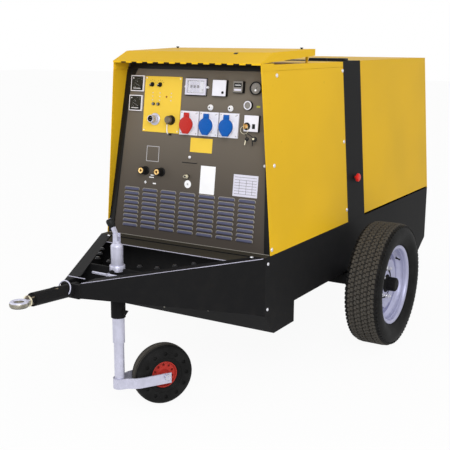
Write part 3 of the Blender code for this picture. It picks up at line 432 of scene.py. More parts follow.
def mouldedPlastic(name, colour, roughness=0.42, grain=0.00004, drift=0.05):
    finish = Finish(name, specular=0.2)
    mottle = finish.noise(0.03, 3.0)
    texture = finish.noise(0.0009, 2.0)
    shade = finish.blend(mottle, darker(colour, 1 - drift), darker(colour, 1 + drift))
    finish.bump(texture, grain)
    return finish.surface(shade, roughness + 0.12 * mottle)


def platedSteel(name, colour, roughness=0.3, metallic=0.75, cloud=0.1):
    # passivated plating: cloudy patches and faint drawing lines
    finish = Finish(name)
    patches = finish.noise(0.024, 4.0)
    lines = finish.noise(0.0011, 2.0, finish.stretch((1.0, 1.0, 0.08)))
    shade = finish.blend(finish.fade(patches, 0.3, 0.7), darker(colour, 1 - cloud), darker(colour, 1 + cloud))
    finish.bump(lines, 0.00002)
    return finish.surface(shade, roughness + 0.18 * patches, metallic)


def roughCasting(name, colour):
    finish = Finish(name)
    lumps = finish.noise(0.004, 5.0)
    stain = finish.noise(0.08, 4.0)
    finish.bump(lumps, 0.0004)
    shade = finish.blend(stain, darker(colour, 0.7), darker(colour, 1.15))
    return finish.surface(shade, 0.55 + 0.25 * lumps, 0.3)


colours = {"brass": tone(244, 208, 140), "tyre": tone(25, 25, 25), "tread": tone(96, 92, 86)}

hoodYellow = sprayedSteel("hood yellow", tone(230, 184, 36), 0.4, 0.00005, 0.04, 0.06)
plateYellow = sprayedSteel("plate yellow", tone(238, 200, 72), 0.45, 0.00003, 0.0, 0.1)
trayBlack = sprayedSteel("tray black", tone(27, 27, 28), 0.5, 0.0001, 0.05, 0.05)
# the panel grey carries painted light and shade, paler at the top and darker at the foot
panelGrey = sprayedSteel("panel grey", tone(74, 68, 63), 0.55, 0.0001, 0.03, 0.05, tone(116, 108, 97))
lavenderZinc = platedSteel("jockey zinc", tone(196, 196, 214), 0.34, 0.55, 0.06)
brightZinc = platedSteel("bolt zinc", tone(214, 214, 220), 0.22, 0.6, 0.08)
wheelSilver = platedSteel("wheel silver", tone(176, 177, 204), 0.36, 0.45, 0.04)
darkSteel = platedSteel("dark steel", tone(60, 60, 62), 0.4, 0.7, 0.15)
castIron = roughCasting("cast iron", tone(70, 72, 70))
# a mid steel for the painted shade on the sides of the tow eye
sideShadeSteel = platedSteel("side shade steel", tone(138, 134, 122), 0.3, 0.65, 0.25)
socketRed = mouldedPlastic("socket red", tone(184, 44, 38), 0.34)
socketBlue = mouldedPlastic("socket blue", tone(8, 86, 168), 0.34)
stopRed = mouldedPlastic("stop red", tone(222, 44, 36), 0.28)
hubRed = mouldedPlastic("hub red", tone(176, 54, 46), 0.48)
caseWhite = mouldedPlastic("case white", tone(232, 231, 240), 0.4, 0.00003, 0.03)
moduleGrey = mouldedPlastic("module grey", tone(190, 188, 190), 0.45)
dialBlack = mouldedPlastic("dial black", tone(24, 24, 24), 0.4)
labelWhite = mouldedPlastic("label white", tone(244, 244, 246), 0.5, 0.00001, 0.02)
labelPlate = mouldedPlastic("label plate", tone(214, 212, 226), 0.38, 0.00001, 0.06)
# blue grey for the louvre domes: the panel sheet with a painted sky reflection
louvreGreyReflection = sprayedSteel("louvre grey reflection", tone(88, 90, 114), 0.42, 0.00008, 0.05, 0.12)
# the pale rim colour is a painted highlight on the louvres' rims and on the panel foot line
louvreRim = sprayedSteel("louvre rim", tone(152, 148, 140), 0.42, 0.00008, 0.0, 0.12)
# a pale colour for painted highlights along bent sheet edges
edgeHighlight = sprayedSteel("edge highlight", tone(196, 194, 212), 0.4, 0.00008, 0.0, 0.2)
coverOlive = sprayedSteel("cover olive", tone(62, 58, 50), 0.6, 0.0001, 0.0, 0.06)
keyDark = mouldedPlastic("key dark", tone(30, 30, 30), 0.45)
keyPale = platedSteel("key pale", tone(222, 214, 186), 0.3, 0.45, 0.1)
dialOlive = mouldedPlastic("dial olive", tone(46, 45, 39), 0.4)
counterGrey = mouldedPlastic("counter grey", tone(132, 128, 123), 0.42)
capBronze = platedSteel("cap bronze", tone(112, 102, 86), 0.38, 0.5, 0.3)
lampBrown = mouldedPlastic("lamp brown", tone(140, 74, 44), 0.3)
noteYellow = mouldedPlastic("note yellow", tone(172, 172, 66), 0.5, 0.00001, 0.03)
print("finishes mixed")


def tyreRubber(name, centre, axis, treadFrom, ringPitch):
    # dark walls with moulded rings, dusty where the tread touches the ground
    finish = Finish(name, specular=0.1)
    length = finish.along(centre, axis)
    reach = (finish.away(centre) ** 2 - length ** 2) ** 0.5
    worn = finish.fade(reach, treadFrom, treadFrom + 0.003)
    speckle = finish.noise(0.006, 5.0)
    film = finish.fade(finish.noise(0.05, 4.0), 0.35, 0.75)
    dusty = worn * (0.25 + 0.75 * speckle)
    shade = finish.blend(film, darker(colours["tyre"], 0.85), darker(colours["tyre"], 1.5))
    shade = finish.blend(dusty, shade, colours["tread"])
    rings = finish.calculate("SINE", reach * (2 * pi / ringPitch))
    finish.bump(rings * (1 - worn) * 0.35 + finish.noise(0.0016, 2.0), 0.0003)
    return finish.surface(shade, 0.62 + 0.22 * dusty)


def clearCover(name):
    finish = Finish(name, coat=0.4, coatRoughness=0.05)
    haze = finish.noise(0.04, 3.0)
    finish.feed(finish.shader.inputs["Alpha"], 0.16 + 0.1 * haze)
    return finish.surface(finish.blend(haze, tone(226, 224, 236), tone(240, 240, 250)), 0.16 + 0.1 * haze)


def coolingFins(name):
    # thin plates side by side; the gaps between them are painted near black as painted shade
    finish = Finish(name)
    wave = finish.calculate("SINE", finish.x * (2 * pi / 0.0042))
    plates = finish.fade(wave, -0.4, 0.5)
    rows = finish.calculate("SINE", finish.z * (2 * pi / 0.011))
    tubes = finish.fade(rows, 0.6, 0.9)
    # the dark gap colour is painted shade between the plates
    shade = finish.blend(plates, tone(14, 14, 15), tone(92, 94, 96))
    shade = finish.blend(tubes, shade, tone(60, 62, 64))
    finish.bump(plates + tubes, 0.0008)
    return finish.surface(shade, 0.45 + 0.2 * plates, 0.5)


def agedBrass(name):
    finish = Finish(name)
    tarnish = finish.fade(finish.noise(0.009, 4.0), 0.4, 0.75)
    shade = finish.blend(tarnish, colours["brass"], tone(170, 120, 50))
    finish.bump(finish.noise(0.0006, 2.0), 0.00002)
    return finish.surface(shade, 0.24 + 0.22 * tarnish, 0.75)


# the panel leans back from its foot
panel = {"foot": (0, -0.493, 0.615), "tilt": 7.6}
lean = radians(panel["tilt"])
panel["up"] = (0, sin(lean), cos(lean))
panel["outward"] = (0, -cos(lean), sin(lean))


def frameOf(right, up, outward, at):
    columns = (right, up, outward)
    rows = [(*(column[i] for column in columns), at[i]) for i in range(3)]
    return Matrix((*rows, (0, 0, 0, 1)))


def onPanel(across, height, out=0.0, turn=0.0):
    # X across the panel, Y up it and Z out of it, in metres from the middle of its foot
    base = frameOf((1, 0, 0), panel["up"], panel["outward"], panel["foot"])
    return base @ moveBy((across, height, out)) @ turnBy(radians(turn), "Z")


def cornerSpots(across, height, wide, tall, out, turn=0):
    return [onPanel(across + sx * wide, height + sy * tall, out, turn * sx * sy) for sx in (-1, 1)
        for sy in (-1, 1)]


def facingFront(at):
    return frameOf((1, 0, 0), (0, 0, 1), (0, -1, 0), at)


body = {"baseWidth": 0.875, "roofWidth": 0.759, "baseTop": 0.6147, "roof": 1.4064}
body["lean"] = atan((body["baseWidth"] - body["roofWidth"]) / 2 / (body["roof"] - body["baseTop"]))


def onSide(side, length, height, out=0.0):
    # a spot on the leaning side sheets, Z pointing out of the sheet
    half = body["baseWidth"] / 2 - (height - body["baseTop"]) * tan(body["lean"])
    slope = body["lean"]
    outward = Vector((side * cos(slope), 0, sin(slope)))
    along = Vector((0, side, 0))
    up = outward.cross(along)
    return frameOf(along, up, outward, (side * half, length, height)) @ moveBy((0, 0, out))


def onWheel(side):
    low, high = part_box("tyre_right" if side > 0 else "tyre_left")
    return moveBy((low + high) / 2) @ turnBy(side * pi / 2, "Y")


jockey = {"centre": (0.097857, -0.814138, 0.13), "axis": (0.857167, -0.515038, 0),
    "forward": (0.515038, 0.857167, 0), "dimples": 12, "dimpleReach": 0.095}


def onJockey():
    return frameOf((0, 0, -1), jockey["forward"], jockey["axis"], jockey["centre"])


slotFinish = {"yellow_paint": hoodYellow, "black_paint": trayBlack, "panel_paint": panelGrey,
    "zinc_plate": lavenderZinc, "wheel_silver": wheelSilver, "dark_steel": darkSteel, "cast_iron": castIron,
    "tyre_rubber": dialBlack, "red_plastic": stopRed, "blue_plastic": socketBlue, "grey_plastic": caseWhite,
    "clear_plastic": clearCover("clear cover"), "black_plastic": dialBlack, "brass": agedBrass("aged brass"),
    "radiator_fins": coolingFins("cooling fins")}
nodeFinish = {"control_plate": plateYellow, "key": agedBrass("key brass")}
for nodeName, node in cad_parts.items():
    for materialSlot in node.material_slots:
        slotName = materialSlot.material.name.split(".")[0]
        materialSlot.material = nodeFinish.get(nodeName, slotFinish[slotName])
print("carried-over nodes painted")


def buildLouvres():
    louvre = {"wide": 0.081, "high": 0.015, "rise": 0.0075, "rim": 0.0022, "columns": 7, "rows": 9,
        "pitchAcross": 0.1022, "pitchUp": 0.0212, "first": (-0.311, 0.0465)}
    stretch = (louvre["wide"] - louvre["high"]) / 2
    clearSelection()
    bpy.ops.mesh.primitive_uv_sphere_add(segments=12, ring_count=5, radius=louvre["high"] / 2)
    hood = bpy.context.object
    place(hood, turnBy(pi / 2, "Y"))
    movePoints(hood, lambda p: p.x > 0.0001, (stretch, 0, 0))
    movePoints(hood, lambda p: p.x < -0.0001, (-stretch, 0, 0))
    hood.scale = (1, 1, louvre["rise"] * 2 / louvre["high"])
    settle(hood)
    cutAway(hood, (0, 0, 0), (0, 0, 1))
    cutAway(hood, (0, -louvre["high"] * 0.24, 0), (0, 1, 0.35))
    # the dome is painted blue grey, a painted sky reflection
    usePaint(hood, louvreGreyReflection)
    # the cut underside is painted black, painted shade in each louvre's opening
    usePaint(hood, dialBlack, lambda c, n: n.y < -0.8)
    # a flat pale rim round each louvre's top and ends, a painted highlight
    rim = addRound("louvreRim", louvre["high"] / 2 + louvre["rim"], 0.0016, steps=12, turned=(0, 0, pi / 12))
    movePoints(rim, lambda p: p.x > 0, (stretch, 0, 0))
    movePoints(rim, lambda p: p.x < 0, (-stretch, 0, 0))
    pushFaces(rim, upward, 0.0008, 0.0006)
    cutAway(rim, (0, -louvre["high"] * 0.3, 0), (0, 1, 0))
    usePaint(rim, louvreRim)
    louvres = joinPieces([hood, rim], "panelLouvres")
    for count, offset in ((louvre["columns"], (louvre["pitchAcross"], 0, 0)),
            (louvre["rows"], (0, louvre["pitchUp"], 0))):
        repeat(louvres, count, offset)
    place(louvres, onPanel(*louvre["first"]))
    handOver(louvres, smooth=50)
    print("louvres pressed")


def dialNumber(text, size, spot, thickness=0.0002):
    clearSelection()
    bpy.ops.object.text_add()
    number = bpy.context.object
    number.data.body = text
    number.data.size = size
    number.data.align_x = "CENTER"
    number.data.align_y = "CENTER"
    number.data.extrude = thickness
    number.data.resolution_u = 2
    pickPiece(number)
    bpy.ops.object.convert(target="MESH")
    return place(bpy.context.object, spot)


def buildMeter(name, across, height, numbers):
    meter = {"side": 0.072, "deep": 0.01, "border": 0.0046, "well": -0.003, "pivot": (0.021, -0.017),
        "reach": 0.042, "ticks": 11, "sweep": (88, 178), "needle": 152}
    case = addBlock("meterCase", (meter["side"], meter["side"], meter["deep"]), (0, 0, meter["deep"] / 2),
        finish=caseWhite, well=(meter["border"], meter["well"]), bevel=0.001)
    floor = meter["deep"] + meter["well"]
    inner = meter["side"] / 2 - meter["border"]
    usePaint(case, dialOlive, lambda c, n: floor - 0.0005 < c.z < meter["deep"] - 0.0003
        and max(abs(c.x), abs(c.y)) < inner + 0.0005)
    parts = [case]
    marks = []
    for i in range(meter["ticks"]):
        share = i / (meter["ticks"] - 1)
        angle = radians(meter["sweep"][0] + (meter["sweep"][1] - meter["sweep"][0]) * share)
        long = 0.0046 if i % 5 == 0 else 0.0028
        tick = addBlock("tick", (long, 0.0005, 0.0003), (meter["reach"], 0, floor + 0.0002))
        spin = moveBy((*meter["pivot"], 0)) @ turnBy(angle, "Z")
        marks.append(place(tick, spin))
        if i % 5 == 0:
            spot = spin @ moveBy((meter["reach"] - 0.0075, 0, floor + 0.0002))
            spot = spot @ turnBy(-angle, "Z")
            marks.append(dialNumber(numbers[i // 5], 0.0044, spot))
    arm = addBlock("needle", (meter["reach"] - 0.004, 0.0006, 0.0004), ((meter["reach"] - 0.004) / 2, 0, 0))
    spin = moveBy((*meter["pivot"], floor + 0.001))
    marks.append(place(arm, spin @ turnBy(radians(meter["needle"]), "Z")))
    strip = addBlock("strip", (0.044, 0.0026, 0.0012), (-0.001, -0.0225, floor + 0.0006), bevel=0.0004,
        segments=1)
    corner = addBlock("cornerMark", (0.005, 0.005, 0.0012), (-0.0235, 0.023, floor + 0.0006), bevel=0.0012)
    for mark in marks:
        usePaint(mark, moduleGrey)
    for mark in (strip, corner):
        usePaint(mark, labelWhite)
    marks += [strip, corner]
    hub = addRound("needleHub", 0.0075, 0.0022, (*meter["pivot"], floor), 24, 0.006, finish=dialBlack)
    return place(joinPieces(parts + marks + [hub], name), onPanel(across, height))


def buildMeters():
    for name, across, height, numbers in (("meterUpper", -0.313, 0.6985, ("0", "50", "100")),
            ("meterLower", -0.3175, 0.6095, ("0", "300", "600"))):
        handOver(buildMeter(name, across, height, numbers))
    print("meters fitted")


def buildInstrument():
    unit = {"size": (0.069, 0.07), "deep": 0.017, "at": (0.1325, 0.69), "face": 0.0035}
    wide, high = unit["size"]
    back = addBlock("unitBack", (wide, high, unit["deep"]), (0, 0, unit["deep"] / 2), finish=dialBlack,
        bevel=0.0012)
    face = addBlock("unitFace", (wide - 0.002, high - 0.002, unit["face"]),
        (0, 0, unit["deep"] + unit["face"] / 2), finish=caseWhite, well=(0.006, -0.0006), bevel=0.0009)
    top = unit["deep"] + unit["face"]
    button = turnOutline("unitButton", [(0.0058, 0), (0.0056, 0.0022), (0.0045, 0.003), (0, 0.0032)], 20,
        finish=dialBlack)
    place(button, moveBy((0.019, -0.019, top - 0.0006)))
    unitPiece = joinPieces([back, face, button], "squareInstrument")
    handOver(place(unitPiece, onPanel(*unit["at"])))


def buildHourMeter():
    counter = {"size": (0.048, 0.05), "deep": 0.02, "at": (0.2265, 0.698), "digits": "00428"}
    wide, high = counter["size"]
    case = addBlock("counterCase", (wide, high, counter["deep"]), (0, 0, counter["deep"] / 2),
        finish=dialBlack)
    roundEdges(case, 0.0012, 2)
    face = addBlock("counterFace", (wide - 0.003, high - 0.003, 0.0025), (0, 0, counter["deep"] + 0.00125),
        finish=counterGrey, well=(0.003, -0.0004), bevel=0.0006)
    top = counter["deep"] + 0.0021
    window = addBlock("counterWindow", (0.036, 0.017, 0.0016), (0, 0.007, top + 0.0008), finish=dialBlack,
        well=(0.0022, -0.001))
    drums = []
    for i, digit in enumerate(counter["digits"]):
        shift = (i - 2) * 0.0058
        drum = addRound("drum", 0.004, 0.005, finish=labelWhite, steps=16, turned=(0, pi / 2, 0))
        place(drum, moveBy((shift - 0.0025, 0.007, top - 0.0026)))
        number = dialNumber(digit, 0.0062, moveBy((shift, 0.007, top + 0.0014)))
        usePaint(number, dialBlack)
        drums += [drum, number]
    base = addBlock("counterStrip", (0.034, 0.008, 0.0006), (0, -0.013, top + 0.0003), finish=labelPlate,
        bevel=0.0002, segments=1)
    piece = joinPieces([case, face, window, base] + drums, "hourMeter")
    handOver(place(piece, onPanel(*counter["at"])))


def buildGauge():
    gauge = {"radius": 0.0285, "deep": 0.016, "at": (0.3085, 0.695), "ticks": 9}
    radius, deep = (gauge["radius"], gauge["deep"])
    outline = [(radius - 0.003, 0), (radius - 0.003, deep - 0.005), (radius, deep - 0.0045),
        (radius, deep - 0.001), (radius - 0.001, deep), (radius - 0.004, deep),
        (radius - 0.005, deep - 0.003), (radius - 0.0052, deep - 0.0045)]
    bezel = turnOutline("gaugeBezel", outline, 48, finish=dialBlack)
    dial = turnOutline("gaugeDial", [(radius - 0.0052, deep - 0.0045), (radius * 0.5, deep - 0.0042),
        (0, deep - 0.0042)], 48, finish=counterGrey)
    marks = []
    for i in range(gauge["ticks"]):
        angle = radians(215 - 250 * i / (gauge["ticks"] - 1))
        long = 0.0048 if i % 4 == 0 else 0.0028
        tick = addBlock("tick", (long, 0.0009, 0.0003), (radius * 0.7, 0, deep - 0.0041))
        marks.append(place(tick, turnBy(angle, "Z")))
    needle = addBlock("gaugeNeedle", (radius * 0.62, 0.0012, 0.0005), (radius * 0.25, 0, deep - 0.0034))
    marks.append(place(needle, moveBy((-0.001, -0.008, 0)) @ turnBy(radians(62), "Z")))
    # the needle hub is painted white as a painted highlight at the lower middle of the dial
    cap = turnOutline("gaugeCap", [(0.0048, deep - 0.0042), (0.0044, deep - 0.0026), (0, deep - 0.0022)], 20,
        finish=labelWhite)
    place(cap, moveBy((-0.001, -0.008, 0)))
    for mark in marks:
        usePaint(mark, dialBlack)
    piece = joinPieces([bezel, dial, cap] + marks, "fuelGauge")
    handOver(place(piece, onPanel(*gauge["at"])))


def buildPanelRounds():
    rounds = {"holders": ((0.085, 0.606), (0.187, 0.606)), "radius": 0.013, "push": (0.2755, 0.6222)}
    outline = [(rounds["radius"], 0), (rounds["radius"], 0.004), (rounds["radius"] - 0.0015, 0.0058),
        (0.0095, 0.006), (0.009, 0.011), (0.0078, 0.0125), (0.004, 0.0125), (0.0036, 0.0085), (0, 0.0085)]
    holder = turnOutline("fuseHolder", outline, 32, finish=labelWhite)
    usePaint(holder, dialBlack, lambda c, n: hypot(c.x, c.y) < 0.0039)
    holders = copyToSpots(holder, [onPanel(*at) for at in rounds["holders"]], "fuseHolders")
    handOver(holders)
    spot = onPanel(*rounds["push"])
    sleeve = [(0.0205, 0), (0.0205, 0.003), (0.0182, 0.0035), (0.018, 0.0125), (0.015, 0.0125),
        (0.0138, 0.002)]
    barrel = turnOutline("pushBarrel", sleeve, 32, finish=dialBlack)
    ring = turnOutline("pushRing", [(0.019, 0.0124), (0.0184, 0.0152), (0.0164, 0.016), (0.0144, 0.015),
        (0.014, 0.0124)], 32, finish=caseWhite)
    handOver(place(joinPieces([barrel, ring], "pushSurround"), spot))
    press = turnOutline("pushCap", [(0.0134, 0.0056), (0.0134, 0.0128), (0.0122, 0.0142), (0.006, 0.0146),
        (0, 0.0146)], 32, finish=counterGrey)
    handOver(place(press, spot), "start_button", ("push_button",))
    print("gauges and rounds fitted")


def buildPlateDetails():
    plate = {"front": 0.0034, "columns": (-0.226, -0.187, -0.125), "rows": (0.659, 0.6435, 0.6265),
        "lamp": (-0.15, 0.643), "selectors": (-0.232, -0.189), "selectorHeight": 0.696, "selectorTurn": 35,
        "tickAngles": (30, 60, 90, 120, 150), "middle": (-0.172, 0.608), "rivets": (0.092, 0.117),
        "trimmers": ((-0.218, 0.609), (-0.192, 0.609))}
    lens = turnOutline("plateMark", [(0.0026, 0), (0.0026, 0.0006), (0.0018, 0.0016), (0, 0.0019)], 12,
        finish=labelPlate)
    spots = [onPanel(u, v, plate["front"]) for u in plate["columns"] for v in plate["rows"]]
    scatter(lens, spots, "plateLamps")
    lamp = turnOutline("redLamp", [(0.0042, 0), (0.0042, 0.0014), (0.003, 0.003), (0, 0.0036)], 16,
        finish=lampBrown)
    handOver(place(lamp, onPanel(*plate["lamp"], plate["front"])))
    knob = turnOutline("trimmer", [(0.0068, 0), (0.007, 0.0015), (0.0062, 0.009), (0.005, 0.0104),
        (0, 0.0108)], 24)
    slot = addBlock("trimmerSlot", (0.0014, 0.009, 0.002), (0, 0, 0.0106))
    merge(knob, slot, "DIFFERENCE")
    usePaint(knob, dialBlack)
    # the top face is painted grey as a painted highlight on the dark knob
    usePaint(knob, counterGrey, lambda c, n: c.z > 0.0095)
    spots = [onPanel(u, v, plate["front"], 20) for u, v in plate["trimmers"]]
    scatter(knob, spots, "trimmerKnobs")
    for across, sideName in zip(plate["selectors"], ("left", "right")):
        base = turnOutline("knobBase", [(0.0105, 0), (0.0103, 0.004), (0.009, 0.0052), (0, 0.0052)], 28,
            finish=dialBlack)
        bar = addBlock("knobBar", (0.0215, 0.009, 0.015), (0.0015, 0, 0.0075), finish=dialBlack)
        movePoints(bar, lambda p: p.x > 0.005 and p.y > 0, (0, -0.0026, 0))
        movePoints(bar, lambda p: p.x > 0.005 and p.y < 0, (0, 0.0026, 0))
        movePoints(bar, lambda p: p.x > 0.005 and p.z > 0.01, (-0.002, 0, -0.003))
        roundEdges(bar, 0.0012, 2)
        pointer = addBlock("knobLine", (0.009, 0.001, 0.0004), (-0.003, 0, 0.015), finish=labelWhite)
        knob = joinPieces([base, bar, pointer], "selectorKnob" + sideName.title())
        place(knob, onPanel(across, plate["selectorHeight"], plate["front"], plate["selectorTurn"]))
        handOver(knob, sideName + "_selector", ("selector_" + sideName,))
    tick = addBlock("selectorTick", (0.0044, 0.0011, 0.0003), (0.0205, 0, 0.0002), finish=dialBlack,
        bevel=0.0002, segments=1)
    spots = [onPanel(across, plate["selectorHeight"], plate["front"], turn) for across in plate["selectors"]
        for turn in plate["tickAngles"]]
    scatter(tick, spots, "selectorTicks")
    corner = turnOutline("plateRivet", [(0.0034, 0), (0.003, 0.0013), (0, 0.0018)], 16, finish=brightZinc)
    spots = cornerSpots(*plate["middle"], *plate["rivets"], plate["front"])
    scatter(corner, spots, "plateRivets")


def buildRemoteSockets():
    remote = {"at": (-0.205, 0.541), "flange": 0.0275, "barrel": 0.017, "long": 0.038}
    front = 0.0034
    flange, barrel, long = (remote["flange"], remote["barrel"], remote["long"])
    outline = [(flange, 0), (flange, 0.004), (flange - 0.003, 0.0062), (0.02, 0.0068), (0.019, 0.012),
        (barrel, 0.013), (barrel, long - 0.002), (barrel - 0.001, long), (barrel - 0.0035, long),
        (barrel - 0.004, 0.016), (0, 0.016)]
    shell = turnOutline("remoteShell", outline, 40, finish=lavenderZinc)
    pushFaces(shell, lambda c, n: 0.013 < c.z < 0.037 and hypot(c.x, c.y) > 0.0165
        and (int((atan2(c.y, c.x) + pi) / (2 * pi) * 40 + 0.01) % 10 == 0), 0.0003, -0.0008)
    usePaint(shell, dialBlack, lambda c, n: hypot(c.x, c.y) < 0.0138)
    pin = turnOutline("pin", [(0.0012, 0.016), (0.0012, 0.031), (0.0007, 0.032), (0, 0.032)], 10,
        finish=brightZinc)
    pins = copyToSpots(pin, ringSpots(5, (0.0075, 0, 0)), "pins")
    piece = joinPieces([shell, pins], "remoteSocket")
    handOver(place(piece, onPanel(*remote["at"], front)))

    capped = {"at": (-0.1165, 0.541), "radius": 0.017, "long": 0.032}
    connector = turnOutline("cappedBody", [(0.0215, 0), (0.0215, 0.004), (0.019, 0.005), (0.018, 0.02),
        (0, 0.02)], 36, finish=dialBlack)
    cap = turnOutline("cappedEnd", [(capped["radius"], 0.0195), (capped["radius"], capped["long"] - 0.003),
        (capped["radius"] - 0.002, capped["long"]), (0.012, capped["long"]), (0.011, capped["long"] - 0.0012),
        (0, capped["long"] - 0.0012)], 36, finish=capBronze)
    pushFaces(cap, lambda c, n: 0.021 < c.z < capped["long"] - 0.004
        and int((atan2(c.y, c.x) + pi) / (2 * pi) * 36 + 0.01) % 2 == 0, 0.0004, 0.0007)
    stem = addBlock("capLug", (0.005, 0.006, 0.003),
        (-0.006, -capped["radius"] - 0.001, capped["long"] - 0.008), finish=capBronze, bevel=0.0008)
    piece = joinPieces([connector, cap, stem], "cappedConnector")
    handOver(place(piece, onPanel(*capped["at"], front)))

    beads = {"size": 0.0027, "count": 17, "from": (-0.1225, 0.521, 0.025), "to": (-0.129, 0.479, 0.004)}
    clearSelection()
    bpy.ops.mesh.primitive_uv_sphere_add(segments=8, ring_count=6, radius=beads["size"])
    bead = bpy.context.object
    usePaint(bead, labelWhite)
    spots = []
    for i in range(beads["count"]):
        share = i / (beads["count"] - 1)
        across, height, out = (a + (b - a) * share for a, b in zip(beads["from"], beads["to"]))
        sag = sin(share * pi)
        spots.append(onPanel(across - 0.002 * sag, height - 0.01 * sag, out))
    chain = copyToSpots(bead, spots, "beadChain")
    lug = addBlock("chainLug", (0.016, 0.009, 0.0026), (0.005, 0, 0.0013), finish=dialBlack, bevel=0.001)
    screw = turnOutline("lugScrew", [(0.0036, 0.0024), (0.0034, 0.0044), (0, 0.0052)], 16, finish=darkSteel)
    lugPiece = place(joinPieces([lug, screw], "lug"), onPanel(-0.1245, 0.477))
    handOver(joinPieces([chain, lugPiece], "capChain"))
    print("control plate dressed")


def buildBreakers():
    # a dark base, the pole modules on it, and the clear cover that closes over them
    box = {"size": (0.106, 0.078, 0.006), "at": (0.008, 0.692), "poles": 3, "pitch": 0.0175}
    wide, tall, deep = box["size"]
    base = addBlock("breakerBase", (wide, tall, deep), (0, 0, deep / 2), finish=dialBlack,
        well=(0.003, -0.0012), bevel=0.0008)
    case = addBlock("moduleFace", (0.086, 0.05, 0.0014), (0, 0, deep - 0.0005), finish=labelWhite,
        well=(0.0015, 0.0003))
    parts = [base, case]
    for i in range(box["poles"]):
        across = (i - 1) * box["pitch"] - 0.008
        module = addBlock("module", (box["pitch"] - 0.0012, 0.044, 0.0012), (across, 0, deep + 0.0008),
            finish=labelPlate, bevel=0.0003, segments=1)
        lever = addBlock("lever", (0.01, 0.012, 0.003), (across, 0.001, deep + 0.0026), finish=darkSteel,
            well=(0.0018, 0.0003), bevel=0.0007)
        parts += [module, lever]
    dot = turnOutline("testButton", [(0.004, deep), (0.0038, deep + 0.002), (0, deep + 0.0024)], 20,
        finish=moduleGrey)
    place(dot, moveBy((0.032, -0.012, 0)))
    modules = place(joinPieces(parts + [dot], "breakerModules"), onPanel(*box["at"]))
    handOver(modules, stands=("breaker_box",))
    latch = turnOutline("boxLatch", [(0.0052, 0), (0.0052, 0.008), (0.004, 0.01), (0, 0.0106)], 20,
        finish=labelWhite)
    spots = [onPanel(box["at"][0] + side * 0.057, box["at"][1], 0) for side in (-1, 1)]
    scatter(latch, spots, "boxLatches")
    cover = {"size": (0.106, 0.071), "wall": 0.0085, "deep": 0.01, "back": 0.0066}
    wide, tall = cover["size"]
    edge = addBlock("coverFrame", (wide, tall, cover["deep"]), (0, 0, cover["deep"] / 2))
    opening = addBlock("coverOpening", (wide - 2 * cover["wall"], tall - 2 * cover["wall"], 0.05))
    merge(edge, opening, "DIFFERENCE")
    roundEdges(edge, 0.001, 2)
    usePaint(edge, labelPlate)
    pane = addBlock("coverPane", (wide - 2 * cover["wall"], tall - 2 * cover["wall"], 0.0016),
        (0, 0, cover["deep"] - 0.0018), finish=slotFinish["clear_plastic"], well=(0.003, 0.0004))
    lid = place(joinPieces([edge, pane], "breakerCover"), onPanel(*box["at"], cover["back"]))
    handOver(lid, "breaker_lid", ("breaker_cover",))
    print("breakers fitted")


mains = {"across": (-0.018, 0.084, 0.186), "height": 0.525, "plate": (0.0955, 0.1055, 0.008),
    "plateHeight": 0.533, "barrel": 0.028, "long": 0.034, "bore": 0.0225, "pinReach": 0.014,
    "screwAcross": 0.04, "screwUp": 0.045, "screwOut": 0.0083, "screwTurn": 25}


def buildSocket(name, finish, across, pinCount, node):
    wide, tall, thick = mains["plate"]
    radius, long, bore = (mains["barrel"], mains["long"], mains["bore"])
    plate = addBlock("socketPlate", (wide, tall, thick),
        (0, mains["plateHeight"] - mains["height"], thick / 2), finish=caseWhite, well=(0.003, 0.0004),
        bevel=0.0012)
    barrel = turnOutline("socketBarrel", [(radius + 0.003, thick), (radius + 0.002, thick + 0.004),
        (radius, thick + 0.005), (radius, long - 0.001), (radius - 0.001, long), (bore, long),
        (bore, thick + 0.002), (0, thick + 0.002)], 40, finish=caseWhite)
    usePaint(barrel, finish, lambda c, n: n.z > 0.9 and c.z > long - 0.001)
    usePaint(barrel, dialBlack, lambda c, n: n.z > 0.9 and c.z < thick + 0.003)
    pin = turnOutline("socketPin", [(0.0032, thick + 0.002), (0.0032, thick + 0.018), (0.0024, thick + 0.019),
        (0, thick + 0.019)], 12, finish=brightZinc)
    pins = copyToSpots(pin, ringSpots(pinCount, (mains["pinReach"], 0, 0), -pi / 2), "socketPins")
    mark = addBlock("socketMark", (0.007, 0.004, 0.0004), (0.034, 0.05, thick + 0.0006), finish=moduleGrey)
    piece = place(joinPieces([plate, barrel, pins, mark], name), onPanel(across, mains["height"]))
    handOver(piece, stands=(node,))


lidRow = {"height": 0.525, "back": 0.0343, "thick": 0.0068, "radius": 0.034, "shift": 0.004, "foot": 0.013,
    "footDrop": 0.04, "tab": 0.0135, "tabTop": 0.052, "hinge": 0.048}


